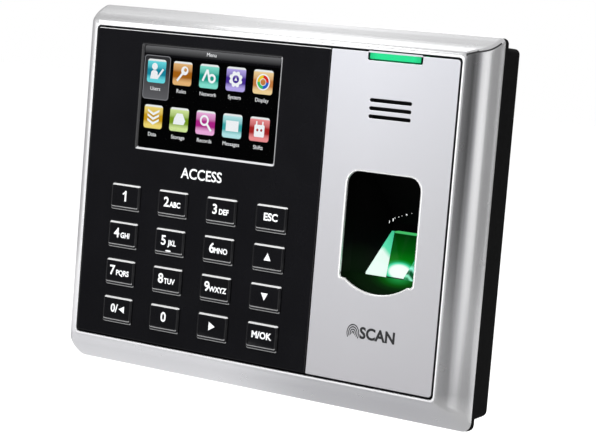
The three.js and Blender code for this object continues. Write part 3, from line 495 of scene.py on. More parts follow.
def link_mesh(name, verts, faces, look, body="terminal", slot=None, crease=38.0):
    mesh = bpy.data.meshes.new(name)
    mesh.from_pydata([tuple(v) for v in verts], [], faces)
    mesh.validate()
    mesh.materials.append(LOOKS[look].material)
    return finish_piece(bpy.data.objects.new(name, mesh), body, crease)


def finish_piece(piece, body, crease):
    """Smooths a new piece up to its sharp edges and gives it its body."""
    mesh = piece.data
    mesh.polygons.foreach_set("use_smooth", [True] * len(mesh.polygons))
    mesh.set_sharp_from_angle(angle=math.radians(crease))
    bpy.context.scene.collection.objects.link(piece)
    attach(piece, body)
    return piece


def rounded(left, right, bottom, top, radii, steps=6):
    """Points of a rectangle with round corners: bottom right, top right, top left, bottom left."""
    if not isinstance(radii, (list, tuple)):
        radii = [radii] * 4
    points = []
    for corner, radius in enumerate(radii):
        x = right - radius if corner < 2 else left + radius
        z = top - radius if corner in (1, 2) else bottom + radius
        for step in range(steps + 1):
            angle = math.pi / 2 * (corner - 1 + step / steps)
            points.append((x + radius * math.cos(angle), z + radius * math.sin(angle)))
    return points


def rounded_about(x, z, half_w, half_h, radii, steps=6):
    return rounded(x - half_w, x + half_w, z - half_h, z + half_h, radii, steps)


def inset_ring(box, depth, inset, radius, steps=6):
    """A rounded rectangle at a depth, drawn in by the same amount from each side of a box."""
    left, right, bottom, top = box
    outline = rounded(left + inset, right - inset, bottom + inset, top - inset, radius, steps)
    return at_depth(outline, depth)


def circle(x, z, radius, steps=24, tall=None):
    """Points round a circle, or round an ellipse with its own upright half size."""
    turns = [2 * math.pi * i / steps for i in range(steps)]
    return [(x + radius * math.cos(t), z + (tall or radius) * math.sin(t)) for t in turns]


def moved(outline, x, z):
    return [(x + px, z + pz) for px, pz in outline]


def at_depth(outline, depth):
    return [(x, depth, z) for x, z in outline]


def loft(rings, closed=False):
    """Vertices and faces of a skin through rings of (x, depth, z) points."""
    count = len(rings[0])
    verts = [place(*point) for ring in rings for point in ring]
    faces = []
    levels = len(rings) if closed else len(rings) - 1
    for level in range(levels):
        here, there = level * count, (level + 1) % len(rings) * count
        for i in range(count):
            j = (i + 1) % count
            faces.append((here + i, there + i, there + j, here + j))
    if not closed:
        faces.append(tuple(range(count)))
        faces.append(tuple((len(rings) - 1) * count + i for i in reversed(range(count))))
    return verts, faces


def plate(name, outlines, front, back, look, body="terminal", slot=None, *, edge):
    """A flat piece with round edges: the first outline is its rim and the others are holes."""
    curve = bpy.data.curves.new(name, "CURVE")
    curve.dimensions = "2D"
    curve.fill_mode = "BOTH"
    curve.extrude = max((back - front) / 2 - edge, 0.0)
    curve.bevel_depth = edge
    curve.bevel_resolution = 2
    curve.offset = -edge
    for outline in outlines:
        spline = curve.splines.new("POLY")
        spline.points.add(len(outline) - 1)
        for point, (x, z) in zip(spline.points, outline):
            point.co = (x, z, 0, 1)
        spline.use_cyclic_u = True
    return from_curve(name, curve, (front + back) / 2, look, body)


def flat_print(name, outline, face, look, body="terminal"):
    """A thin printed shape on the face at that depth."""
    return plate(name, [outline], face - 0.03, face + 0.02, look, body, edge=0.005)


def from_curve(name, curve, depth, look, body):
    """A curve's filled shape as a piece that faces the front, with its middle at a depth."""
    holder = bpy.data.objects.new(name, curve)
    bpy.context.scene.collection.objects.link(holder)
    bpy.context.view_layer.update()
    made = holder.evaluated_get(bpy.context.evaluated_depsgraph_get())
    mesh = bpy.data.meshes.new_from_object(made)
    bpy.data.objects.remove(holder)
    bpy.data.curves.remove(curve)
    for vertex in mesh.vertices:
        x, z, forward = vertex.co
        vertex.co = place(x, depth - forward, z)
    mesh.materials.clear()
    mesh.materials.append(LOOKS[look].material)
    return finish_piece(bpy.data.objects.new(name, mesh), body, PLATE_CREASE)


def lettering(name, text, x, depth, z, size, look="legend", body="terminal", weight=0.0,
              squeeze=1.0):
    """Printed characters, a hair proud of the face at that depth."""
    curve = bpy.data.curves.new(name, "FONT")
    curve.body = text
    curve.size = size
    curve.align_x = "CENTER"
    curve.align_y = "CENTER"
    curve.offset = weight
    curve.extrude = PRINT_PROUD
    curve.resolution_u = 4
    piece = from_curve(name, curve, depth, look, body)
    middle = place(x, depth, z)
    start = place(0, depth, 0)
    for vertex in piece.data.vertices:
        away = vertex.co - start
        vertex.co = middle + Vector((away.x * squeeze, away.y, away.z))
    return piece


def merge(name, pieces):
    """Several pieces as one, each keeping its material."""
    for obj in bpy.context.selected_objects:
        obj.select_set(False)
    with bpy.context.temp_override(
        active_object=pieces[0], object=pieces[0], selected_objects=pieces,
        selected_editable_objects=pieces,
    ):
        bpy.ops.object.join()
    whole = pieces[0]
    whole.name = name
    whole.data.name = name
    return whole


def paint(piece, look, wanted):
    """Gives another material to the faces whose middle (x, depth, z) and normal are wanted."""
    piece.data.materials.append(LOOKS[look].material)
    number = len(piece.data.materials) - 1
    start = place(0, 0, 0)
    for face in piece.data.polygons:
        x, depth, z = (face.center - start) / MM
        if wanted(x, depth, z, face.normal):
            face.material_index = number


def soften(node, look, width):
    """A carried-over CAD node: its flat faces are merged and its edges are rounded."""
    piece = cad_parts[node]
    piece.data.materials.clear()
    piece.data.materials.append(LOOKS[look].material)
    weld = piece.modifiers.new("weld", "WELD")
    weld.merge_threshold = WELD_REACH
    flat = piece.modifiers.new("flat", "DECIMATE")
    flat.decimate_type = "DISSOLVE"
    flat.angle_limit = math.radians(FLAT_ANGLE)
    bevel = piece.modifiers.new("bevel", "BEVEL")
    bevel.width = width * MM
    bevel.segments = 2
    bevel.limit_method = "ANGLE"
    bevel.angle_limit = math.radians(ROUND_ANGLE)
    weighted = piece.modifiers.new("normals", "WEIGHTED_NORMAL")
    weighted.keep_sharp = True
    piece.data.polygons.foreach_set("use_smooth", [True] * len(piece.data.polygons))


# ---------------- front frame

# depth behind the panel's face, then how far the frame has spread from the panel's opening by
# there: left, right, top, bottom
FRAME_CURVE = [
    (0.0, 0.7, 0.7, 0.7, 0.7),
    (0.12, 1.1, 1.0, 1.15, 1.1),
    (0.5, 1.7, 1.4, 1.65, 1.6),
    (1.2, 2.55, 1.85, 2.2, 2.2),
    (2.0, 3.5, 2.25, 2.6, 2.75),
    (3.0, 4.65, 2.8, 3.0, 3.4),
    (3.8, 5.5, 3.35, 3.3, 4.0),
    (4.5, 6.2, 4.0, 3.55, 4.55),
    (5.1, 6.8, 4.8, 3.75, 5.05),
    (5.7, 7.35, 5.7, 4.0, 5.6),
    (6.3, 7.9, 6.5, 4.25, 6.2),
    (6.9, 8.35, 7.15, 4.55, 6.85),
    (7.6, 8.8, 7.75, 4.9, 7.5),
    (8.6, 9.3, 8.4, 5.5, 8.4),
    (9.8, 9.7, 8.9, 6.2, 9.4),
    (11.0, 9.9, 9.2, 6.9, 10.3),
    (12.4, 10.0, 9.37, 7.65, 11.3),
    (13.6, 10.0, 9.4, 8.3, 12.1),
]
FRAME_BACK = [(13.9, 9.9, 9.3, 8.4, 12.25), (14.0, 9.5, 8.9, 8.0, 11.8), (14.0, 8.0, 7.4, 6.4, 9.8)]
FRAME_INSIDE = [(12.5, 4.6), (6.0, 0.3), (0.55, 0.22), (0.2, 0.27), (0.03, 0.45)]  # depth, spread
CURVE_STEPS = 4
SEAM_HALF = 0.32
SEAM_SIDE = Vector((0.6, -0.6, 0.5))


def frame_sizes():
    """FRAME_CURVE made smooth, as a Catmull-Rom curve through its rows."""
    curve = []
    last = len(FRAME_CURVE) - 1
    for i in range(last):
        p0, p1, p2, p3 = (FRAME_CURVE[max(0, min(last, i + k))] for k in (-1, 0, 1, 2))
        for step in range(CURVE_STEPS):
            t = step / CURVE_STEPS
            curve.append(tuple(
                0.5 * (2 * b + (c - a) * t + (2 * a - 5 * b + 4 * c - d) * t * t
                       + (3 * b - a - 3 * c + d) * t ** 3)
                for a, b, c, d in zip(p0, p1, p2, p3)
            ))
    return curve + [FRAME_CURVE[-1]]


def panel_ring(depth, left, right, top, bottom):
    """The panel opening's outline pushed outwards, with corners that grow rounder on the way."""
    corners = [1.6 + growth * right for growth in (0.22, 0.08, 0.26, 0.25)]
    return at_depth(rounded(-PANEL_HALF_WIDTH - left, PANEL_HALF_WIDTH + right,
                            -PANEL_HALF_HEIGHT - bottom, PANEL_HALF_HEIGHT + top, corners, 7), depth)


def front_frame():
    rings = [panel_ring(depth, grow, grow, grow, grow) for depth, grow in FRAME_INSIDE]
    rings += [panel_ring(*sizes) for sizes in frame_sizes() + FRAME_BACK]
    piece = link_mesh("frame_bezel", *loft(rings, closed=True), "frame", slot="silver_paint", crease=50)
    # the frame's front lip faces take a painted highlight line
    paint(piece, "rim", lambda x, depth, z, normal: depth < 0.1 and normal.y < -0.3)
    # the right side's faces take the cove's painted shade and highlights
    paint(piece, "cove", lambda x, depth, z, normal: normal.x > abs(normal.z)
          and x > PANEL_HALF_WIDTH + 0.9)
    # the left side's faces take painted shade, darker towards the back
    paint(piece, "left_slope", lambda x, depth, z, normal: -normal.x > abs(normal.z)
          and -x > PANEL_HALF_WIDTH + 0.6)
    half_w, half_h = PANEL_HALF_WIDTH + 0.26, PANEL_HALF_HEIGHT + 0.26
    # faces inside the panel's opening take the chassis black: painted shade that keeps the groove round
    # the panel dark
    paint(piece, "chassis", lambda x, depth, z, normal: depth > 0.3 and abs(x) < half_w
          and abs(z) < half_h)
    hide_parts("front_frame")


def mitre_line():
    """The fine dark seam that curves across the frame's top right corner."""
    path = []
    for sizes in frame_sizes()[10:-6]:
        corner = max(panel_ring(*sizes), key=lambda point: point[0] + point[2])
        path.append(Vector(corner))
    rings = []
    for i, spot in enumerate(path):
        ahead = path[min(i + 1, len(path) - 1)] - path[max(i - 1, 0)]
        side = ahead.cross(SEAM_SIDE).normalized() * SEAM_HALF
        lift = side.cross(ahead).normalized() * SEAM_HALF * 0.6
        rings.append([tuple(spot + side * a + lift * b) for a, b in circle(0, 0, 1, 8)])
    link_mesh("mitre_line", *loft(rings), "chassis", slot="silver_paint", crease=80)


# ---------------- fascias

WINDOW = (-59.2, 6.5, 14.4, 55.5)  # left, right, bottom, top
# inset, depth, corner radius
WINDOW_STEPS = [(0.06, 0.02, 0.7), (0.62, 0.5, 0.7), (0.78, 0.7, 0.7), (0.85, 1.0, 0.7), (0.03, 1.05, 0.9)]
GROOVE = 0.2
KEY_SIZE = (13.8, 10.2)
KEY_GAP = 0.25
LIGHT_GAP = 0.25
SLOT_HALF = (8.8, 0.675)
SLOT_OFFSETS = (2.95, 0.0, -2.95)
FINGER = {"half": 15.6, "top": 17.0, "bottom": -22.6, "corner": 5.0, "foot": 1.3}
DIP = {"half": 13.4, "depth": 4.3, "steps": 18}
LIP_LEVELS = [(0.95, -0.12), (0.3, -0.12), (0.02, 0.05), (-0.1, 0.28), (-0.08, 0.5), (0.04, 0.66),
              (0.3, 0.4)]  # depth, how far the opening's outline is grown


def key_hole(node):
    x, _, z = centre(node)
    return rounded_about(x, z, KEY_SIZE[0] / 2 + KEY_GAP, KEY_SIZE[1] / 2 + KEY_GAP, 1.2, 4)


def keypad_fascia():
    low, high = panel_box("keypad_fascia")
    rim = rounded(low[0], high[0], low[2] + GROOVE, high[2] - GROOVE, [0.5, 0.5, 1.4, 1.4])
    holes = [rounded(*WINDOW, 0.9)] + [key_hole(key) for key in LEGENDS]
    piece = plate("keypad_glass", [rim] + holes, 0, 1.4, "fascia", slot="gloss_black", edge=0.25)
    top = high[2] - GROOVE - 0.35
    # the fascia's top edge bevel takes a painted highlight line
    paint(piece, "edge", lambda x, depth, z, normal: z > top and normal.z > 0.15 and depth < 0.3)
    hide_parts("keypad_fascia")


def window_bevel():
    """The moulded frame that slopes down from the fascia to the display window."""
    _, right, bottom, _ = WINDOW
    rings = [inset_ring(WINDOW, depth, inset, radius) for inset, depth, radius in WINDOW_STEPS]
    piece = link_mesh("window_bevel", *loft(rings, closed=True), "bevel", slot="black_plastic")
    # the bevel's foot and right side take painted highlights
    paint(piece, "foot_bevel_highlight", lambda x, depth, z, normal: abs(normal.z) > 0.4 and z < bottom + 2
          and depth < 0.7)
    paint(piece, "side_bevel_highlight", lambda x, depth, z, normal: abs(normal.x) > 0.4 and x > right - 2
          and depth < 0.7)


def finger_outline(grow=0.0):
    """The finger opening: round top corners, small feet, and a lower edge that dips in an arc."""
    half = FINGER["half"] + grow
    low, high = FINGER["bottom"] - grow, FINGER["top"] + grow
    foot, corner = FINGER["foot"] + grow * 0.5, FINGER["corner"] + grow
    radius = (DIP["half"] ** 2 + DIP["depth"] ** 2) / (2 * DIP["depth"])
    reach = math.asin(DIP["half"] / radius)
    middle = low - DIP["depth"] + radius
    points = []
    for step in range(DIP["steps"] + 1):
        angle = -math.pi / 2 - reach + 2 * reach * step / DIP["steps"]
        points.append((FINGER_X + radius * math.cos(angle), middle + radius * math.sin(angle)))
    rest = rounded(FINGER_X - half, FINGER_X + half, low, high, [foot, corner, corner, foot], 8)
    return points + rest


def speaker_slots():
    """Outlines of the three sound slots."""
    x, _, z = centre("speaker")
    return [rounded_about(x, z + offset, *SLOT_HALF, 0.66) for offset in SLOT_OFFSETS]


def sensor_fascia():
    low, high = panel_box("sensor_fascia")
    bar_low, bar_high = panel_box("status_light_bar")
    outline = rounded(low[0], high[0] - GROOVE, low[2] + GROOVE, high[2] - GROOVE,
                      [1.2, 1.2, 0.4, 0.4])
    bar = rounded(bar_low[0] - LIGHT_GAP, bar_high[0] + LIGHT_GAP, bar_low[2] - LIGHT_GAP,
                  bar_high[2] + 0.1, 0.3)
    holes = [finger_outline(), bar] + speaker_slots()
    piece = plate("sensor_panel", [outline] + holes, 0, 1.9, "panel", slot="silver_panel", edge=0.25)
    paint(piece, "chassis", lambda x, depth, z, normal: depth > 0.3 and normal.y > -0.9)
    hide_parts("sensor_fascia")


def finger_lip():
    """The bright rolled edge round the finger opening."""
    rings = [at_depth(finger_outline(grow), depth) for depth, grow in LIP_LEVELS]
    link_mesh("finger_lip", *loft(rings, closed=True), "lip", slot="silver_panel", crease=70)


# ---------------- keypad

# what each key says: its main print, then a small one beside it
# "" stands beside a digit that has none, and None beside a word or an arrow
LEGENDS = {
    "key_1": ("1", ""), "key_2": ("2", "ABC"), "key_3": ("3", "DEF"), "key_esc": ("ESC", None),
    "key_4": ("4", "GHI"), "key_5": ("5", "JKL"), "key_6": ("6", "MNO"), "key_up": ("up", None),
    "key_7": ("7", "PQRS"), "key_8": ("8", "TUV"), "key_9": ("9", "WXYZ"), "key_down": ("down", None),
    "key_clear": ("0/", "left"), "key_0": ("0", ""), "key_right": ("right", None),
    "key_menu": ("M/OK", None),
}
KEY_FACE = -1.0
ARROWS = {
    "up": [(-1.55, -1.3), (1.55, -1.3), (0, 1.55)],
    "down": [(-1.55, 1.3), (0, -1.55), (1.55, 1.3)],
    "right": [(-1.3, -1.65), (1.6, 0), (-1.3, 1.65)],
    "left": [(1.35, -1.4), (1.35, 1.4), (-1.35, 0)],
}
# a 1 with a flag, which the built-in lettering lacks
FIGURE_ONE = [(0.0, -2.1), (0.75, -2.1), (0.75, 2.1), (0.15, 2.1), (-0.25, 1.45), (-1.0, 1.05),
              (-1.0, 0.45), (-0.45, 0.6), (0.0, 0.9)]
BOLD = 0.12
# depth, side inset, top inset, foot inset, corner radius
KEY_LEVELS = [
    (1.35, 0.0, 0.0, 0.0, 0.7),
    (-0.05, 0.0, 0.0, 0.0, 0.7),
    (-0.2, 0.05, 0.03, 0.06, 0.7),
    (-0.3, 0.14, 0.1, 0.32, 0.65),
    (-0.5, 0.24, 0.24, 0.62, 0.6),
    (-0.78, 0.4, 0.46, 1.1, 0.55),
    (-0.92, 0.52, 0.6, 1.42, 0.5),
    (-0.98, 0.66, 0.74, 1.6, 0.45),
    (KEY_FACE, 0.9, 0.9, 1.8, 0.4),
]


def key_cap(node):
    """A cap with a narrow chamfer along its top and sides and a wide one along its foot."""
    x, _, z = centre(node)
    half_w, half_h = KEY_SIZE[0] / 2, KEY_SIZE[1] / 2
    rings = []
    for depth, side, top, foot, corner in reversed(KEY_LEVELS):
        outline = rounded(x - half_w + side, x + half_w - side, z - half_h + foot,
                          z + half_h - top, corner, 5)
        rings.append(at_depth(outline, depth))
    piece = link_mesh(node + "_cap", *loft(rings), "key", body=node, slot="key_black", crease=60)
    foot, head, left = z - half_h, z + half_h, x - half_w
    # painted highlight lines: one along the top chamfer, two along the edges of the foot chamfer
    paint(piece, "edge", lambda px, depth, pz, normal: -0.95 < depth < -0.12 and pz > head - 0.62
          and normal.z > 0.3)
    paint(piece, "foot_edge", lambda px, depth, pz, normal: pz < foot + 1.55
          and (normal.z < -0.2 or (normal.x < -0.4 and px < left + 1.2))
          and (-0.26 < depth < -0.1 or -0.93 < depth < -0.82))
    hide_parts(node)


def key_print(name, shape, x, z, body):
    """A shape printed on a key's face."""
    return flat_print(name, moved(shape, x, z), KEY_FACE, "legend", body)


def key_legend(node):
    x, _, z = centre(node)
    middle = z + 0.55
    main, small = LEGENDS[node]
    prints = []

    def write(text, offset, size, weight, squeeze=1.0, drop=0.0):
        prints.append(lettering(f"{node}_{len(prints)}", text, x + offset, KEY_FACE, middle - drop,
                                size, body=node, weight=weight, squeeze=squeeze))

    if main in ARROWS:
        prints.append(key_print(node + "_arrow", ARROWS[main], x, middle, node))
    elif small is None:
        write(main, 0, 3.9 if len(main) < 4 else 3.5, BOLD)
    elif main == "1":
        prints.append(key_print(node + "_one", FIGURE_ONE, x, middle, node))
    elif small == "":
        write(main, 0, 5.2, BOLD)
    elif small in ARROWS:
        write(main, -1.2, 4.4, BOLD)
        prints.append(key_print(node + "_arrow", ARROWS[small], x + 2.4, middle, node))
    else:
        write(main, -1.75 * len(small) / 2, 5.2, BOLD)
        write(small, 1.55, 2.9, 0.09, 0.92, 0.7)
    if node == "key_5":
        bar = rounded_about(x, z - 3.2, 1.2, 0.25, 0.2, 3)
        prints.append(plate("key_5_bar", [bar], KEY_FACE - 0.2, KEY_FACE + 0.05, "legend", node,
                            edge=0.05))
    piece = merge(node + "_legend", prints) if len(prints) > 1 else prints[0]


# ---------------- display content

SCREEN = 1.0  # depth of the lit face, bonded to the back of the window
LENS_DEPTH = (0.72, 0.86)
ICON_COLUMNS = [-52.1, -39.6, -27.0, -14.5, -2.0]
ICON_ROWS = [45.2, 27.5]
ICON_HALF = (4.45, 4.55)
TITLE_FOOT = 50.9
CHOICE = (-57.9, -45.9, 34.5, 50.9)  # the patch behind the chosen icon: left, right, bottom, top
CHOICE_RIM = (-58.2, -45.6, 34.2, 51.2)
CAPTION_SIZE = 2.1
CAPTION_DEPTH = SCREEN - 0.06
HEADING = ("Menu", -26.5, CAPTION_DEPTH, 53.3, CAPTION_SIZE)
WHEEL = (1.4, 2.6)  # inner and outer radius
# light colour, deep colour, label
ICONS = [
    ((0.15, 0.75, 0.8), (0.01, 0.25, 0.35), "Users"),
    ((0.85, 0.5, 0.2), (0.4, 0.13, 0.01), "Roles"),
    ((0.25, 0.8, 0.65), (0.01, 0.33, 0.25), "Network"),
    ((0.5, 0.42, 0.85), (0.07, 0.03, 0.3), "System"),
    ((0.95, 0.7, 0.35), (0.6, 0.22, 0.06), "Display"),
    ((0.95, 0.75, 0.2), (0.6, 0.33, 0.01), "Data"),
    ((0.7, 0.85, 0.35), (0.2, 0.35, 0.02), "Storage"),
    ((0.9, 0.45, 0.75), (0.45, 0.02, 0.25), "Records"),
    ((0.5, 0.85, 0.85), (0.05, 0.4, 0.4), "Messages"),
    ((0.9, 0.3, 0.3), (0.4, 0.02, 0.02), "Shifts"),
]


def stroke(x0, z0, x1, z1, width):
    """A straight stroke from one point to another."""
    along = Vector((x1 - x0, z1 - z0)).normalized() * width / 2
    a, b = -along.y, along.x
    return [(x0 - a, z0 - b), (x1 - a, z1 - b), (x1 + a, z1 + b), (x0 + a, z0 + b)]


def gear(teeth, tip, root):
    turns = [2 * math.pi * i / (3 * teeth) for i in range(3 * teeth)]
    radii = [tip if i % 3 else root for i in range(3 * teeth)]
    return [(r * math.cos(t), r * math.sin(t)) for r, t in zip(radii, turns)]


# each icon's picture, about the icon's middle: shapes, each an outline followed by its holes
GLYPHS = [
    [[circle(-1.0, 1.7, 1.35)],
     [[(-2.9, -3.1), (0.9, -3.1), (0.5, -0.4), (-0.3, 0.2), (-1.7, 0.2), (-2.5, -0.4)]],
     [stroke(0.6, -2.6, 3.2, 0.9, 0.8)]],
    [[circle(1.0, 1.2, 1.7), circle(1.3, 1.5, 0.7)], [stroke(0.2, 0.3, -2.4, -2.9, 0.9)]],
    [[stroke(-2.9, -1.9, -0.9, 2.5, 0.9)], [stroke(-0.9, 2.5, 0.5, -1.9, 0.9)],
     [circle(1.4, -0.7, 1.8), circle(1.4, -0.7, 0.9)]],
    [[gear(8, 3.1, 2.5), circle(0, 0, 1.5)], [[(-0.7, -0.5), (0.7, -0.5), (0, 0.8)]]],
    [[circle(0, 0, 3.1), circle(0, 0, 1.2)]],
    [[[(-2.8, z), (0, z - 1.5), (2.8, z), (2.8, z + 0.9), (0, z - 0.5), (-2.8, z + 0.9)]]
     for z in (-1.6, 0.2, 2.0)],
    [[[(-2.8, -1.9), (2.3, -1.9), (3.0, -0.3), (1.5, 2.4), (-1.2, 2.4), (-2.4, 0.3)]]],
    [[circle(-0.6, 0.9, 2.1), circle(-0.6, 0.9, 1.3)], [stroke(0.8, -0.6, 2.8, -2.9, 0.9)]],
    [[[(-2.9, -2.0), (2.9, -2.0), (2.9, 2.0), (-2.9, 2.0)]]],
    [[rounded(-2.3, 2.3, -2.9, 1.7, 0.5, 3), circle(-0.9, -0.3, 0.5, 12), circle(0.9, -0.3, 0.5, 12)],
     [stroke(-1.4, 1.6, -1.4, 3.0, 0.6)], [stroke(1.4, 1.6, 1.4, 3.0, 0.6)]],
]


def screen_patch(name, outlines, layer, look):
    """A flat lit patch; a higher layer lies in front."""
    front = SCREEN - 0.01 * layer
    return plate(name, outlines, front - 0.004, front + 0.004, look, edge=0.001)


def icon(index):
    x = ICON_COLUMNS[index % len(ICON_COLUMNS)]
    z = ICON_ROWS[index // len(ICON_COLUMNS)]
    light, deep, label = ICONS[index]
    number = index + 1
    half_h = ICON_HALF[1]
    low, high = place(x, 0, z - half_h).z, place(x, 0, z + half_h).z
    look = f"icon_{number}"
    LOOKS[look] = icon_look(look, light, deep, low, high)
    tile = rounded_about(x, z, *ICON_HALF, 1.1)
    patches = [screen_patch(f"tile_{number}", [tile], 4, look)]
    for part, shape in enumerate(GLYPHS[index]):
        outlines = [moved(outline, x, z) for outline in shape]
        patches.append(screen_patch(f"glyph_{number}_{part}", outlines, 5, "lit_white"))
    patches.append(lettering(f"label_{number}", label, x, CAPTION_DEPTH, z - half_h - 2.3,
                             CAPTION_SIZE, "lit_label"))
    return patches


def color_wheel(x, z):
    """Four coloured quarters of a ring, on the icon for the display."""
    inner, outer = WHEEL
    slices = []
    for i, look in enumerate(["lit_red", "lit_yellow", "lit_green", "lit_blue"]):
        start = math.pi / 2 * i
        arc = [start + math.pi / 2 * k / 6 for k in range(7)]
        outline = [(x + outer * math.cos(t), z + outer * math.sin(t)) for t in arc]
        outline += [(x + inner * math.cos(t), z + inner * math.sin(t)) for t in reversed(arc)]
        slices.append(screen_patch(f"wheel_{i}", [outline], 6, look))
    return slices


def display():
    left, right, bottom, top = WINDOW
    inner = (left + 0.8, right - 0.8, bottom + 0.8, top - 0.8)
    patches = [
        screen_patch("screen_ground", [rounded(*inner, 0.3)], 0, "lit_black"),
        screen_patch("screen_title", [rounded(inner[0] + 0.1, inner[1] - 0.1, TITLE_FOOT, inner[3],
                                              0.1)], 1, "lit_title"),
        screen_patch("screen_choice_rim", [rounded(*CHOICE_RIM, 1.3)], 2, "lit_rim"),
        screen_patch("screen_choice", [rounded(*CHOICE, 1.1)], 3, "lit_choice"),
        lettering("screen_heading", *HEADING, "lit_label"),
    ]
    for index in range(len(ICONS)):
        patches += icon(index)
    patches += color_wheel(ICON_COLUMNS[4], ICON_ROWS[0])
    piece = merge("screen_picture", patches)
    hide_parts("lcd_panel")
    pane = rounded(*inner, 0.4)
    glass = plate("window_glass", [pane], *LENS_DEPTH, "window", slot="display_lens", edge=0.03)
    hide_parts("display_lens")


# ---------------- marks

WORD = ("ACCESS", -26.3, 0.0, 7.3, 5.6)  # text, x, depth, z, size
FINGER_WORD = ("SCAN", 57.3, 0.0, -41.6, 5.8)
MARK_SPOT = (46.9, -41.9)
RIDGES = 4
RIDGE_STEP = 0.82
RIDGE_WIDTH = 0.42


def word_mark():
    piece = lettering("word_mark", *WORD, weight=0.08, squeeze=0.98)


def ridge(number):
    """One open ring of the fingerprint pictogram."""
    radius = 0.65 + RIDGE_STEP * number
    angles = [math.radians(-35 + 250 * step / 18) for step in range(19)]
    points = [(radius * math.cos(a) * 0.86, radius * math.sin(a) * 1.05) for a in angles]
    shrink = (radius - RIDGE_WIDTH) / radius
    inner = [(px * shrink, pz * shrink) for px, pz in reversed(points)]
    return flat_print(f"ridge_{number}", moved(points + inner, *MARK_SPOT), 0, "mark")


def finger_mark():
    """A plain fingerprint pictogram and a short word, printed low on the silver panel."""
    parts = [ridge(number) for number in range(RIDGES)]
    parts.append(lettering("finger_word", *FINGER_WORD, "mark", weight=0.2))
    merge("finger_mark", parts)


# ---------------- finger recess and status light

# x, depth, z, half width, half height
BEADS = [
    (45.6, 21.4, -2.2, 0.16, 0.6), (45.8, 23.7, -1.4, 0.22, 0.75), (46.7, 23.4, -0.7, 0.14, 0.3),
    (48.5, 23.05, -0.1, 0.2, 0.16), (50.0, 22.7, 0.5, 0.14, 0.12), (52.2, 22.3, 1.25, 0.36, 0.32),
    (54.6, 21.85, 2.0, 0.2, 0.1),
]
BEAD_HALF_DEPTH = 0.25


def glint_beads():
    """Small glowing beads along the foot of the recess's back wall: painted glints."""
    pieces = []
    for number, (x, depth, z, wide, high) in enumerate(BEADS):
        rings = []
        for step in range(1, 6):
            grow, back = math.sin(math.pi * step / 6), math.cos(math.pi * step / 6)
            outline = circle(x, z, wide * grow, 12, high * grow)
            rings.append(at_depth(outline, depth - BEAD_HALF_DEPTH * back))
        pieces.append(link_mesh(f"bead_{number}", *loft(rings), "bead", crease=80))
    merge("glint_beads", pieces)


def status_light():
    low, high = panel_box("status_light_bar")
    box = (low[0], high[0], low[2], high[2])
    rings = [inset_ring(box, depth, inset, 0.35, 4)
             for depth, inset in [(0.0, 0.3), (0.12, 0.08), (0.35, 0.0), (5.5, 0.0)]]
    piece = link_mesh("light_pipe", *loft(rings), "status", slot="status_light", crease=50)
    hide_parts("status_light_bar")


# ---------------- back and cable bay

BAY_TOP = -20.0
CONTACT_PITCH = 1.02
LABEL = (62, 82, -17, 17)  # left, right, bottom, top
# top edge, width, height
LABEL_BARS = [(13.6, 16, 1.4), (10.4, 12, 0.8), (8.2, 14.5, 0.8), (6.0, 10, 0.8),
              (3.8, 13, 0.8), (-1.5, 16, 0.3), (-4.2, 9, 0.8), (-6.4, 11.5, 0.8)]


def prong(name, path, half_width, half_depth, look):
    """A flat metal finger that runs along a path of (x, depth, z) points, mostly up and down."""
    sides = [(-1, -1), (1, -1), (1, 1), (-1, 1)]
    rings = [[(x + a * half_width, depth + b * half_depth, z) for a, b in sides] for x, depth, z in path]
    return link_mesh(name, *loft(rings), look, crease=20)


def network_contacts():
    fingers = []
    for i in range(8):
        x = centre("ethernet_jack")[0] + (i - 3.5) * CONTACT_PITCH
        path = [(x, 14.8, BAY_TOP + 11), (x, 15.4, BAY_TOP + 8), (x, 18.4, BAY_TOP + 2.6),
                (x, 18.9, BAY_TOP + 1.2)]
        fingers.append(prong(f"contact_{i}", path, 0.22, 0.14, "gold"))
    merge("network_contacts", fingers)


def power_pin():
    x = centre("power_jack")[0]
    rings = []
    for z, radius in [(9.6, 1.0), (2.2, 1.0), (1.5, 0.85), (1.2, 0.45)]:
        rings.append([(px, depth, BAY_TOP + z) for px, depth in circle(x, 18.4, radius, 20)])
    link_mesh("power_pin", *loft(rings), "nickel")


def relay_clamps():
    """The steel cages that pinch the wires, seen in the mouths of the relay terminals."""
    low, high = panel_box("relay_terminals")
    pitch = (high[0] - low[0]) / 4
    cages = []
    for i in range(4):
        x = low[0] + (i + 0.5) * pitch
        path = [(x, 16.1, BAY_TOP + 5.6), (x, 16.1, BAY_TOP + 2.6), (x, 15.7, BAY_TOP + 1.6)]
        cages.append(prong(f"clamp_{i}", path, 1.1, 0.35, "zinc"))
    merge("relay_clamps", cages)


def usb_inside():
    """The port's plastic tongue and its four contacts."""
    x, foot = centre("usb_port")[0], panel_box("usb_port")[0][2]
    spine = [(x, 22.6, foot + 12.2), (x, 22.6, foot + 1.6), (x, 22.6, foot + 1.1)]
    pieces = [prong("usb_tongue", spine, 5.4, 0.9, "white_plastic")]
    for i in range(4):
        across = x + (i - 1.5) * 2.5
        path = [(across, 21.65, foot + 12), (across, 21.65, foot + 2.4)]
        pieces.append(prong(f"usb_contact_{i}", path, 0.5, 0.08, "gold"))
    merge("usb_inside", pieces)


def rating_label():
    """A blank label on the housing's back: a grey plate with plain ruled bars."""
    parts = [plate("label_plate", [rounded(*LABEL, 1.0)], BACK - 0.05, BACK + 0.1, "label", edge=0.02)]
    left = LABEL[0] + 2
    for number, (high, width, tall) in enumerate(LABEL_BARS):
        bar = rounded(left, left + width, high - tall, high, 0.05, 1)
        parts.append(plate(f"label_bar_{number}", [bar], BACK + 0.09, BACK + 0.13, "mark", edge=0.005))
    merge("rating_label", parts)


# ---------------- carried-over CAD nodes

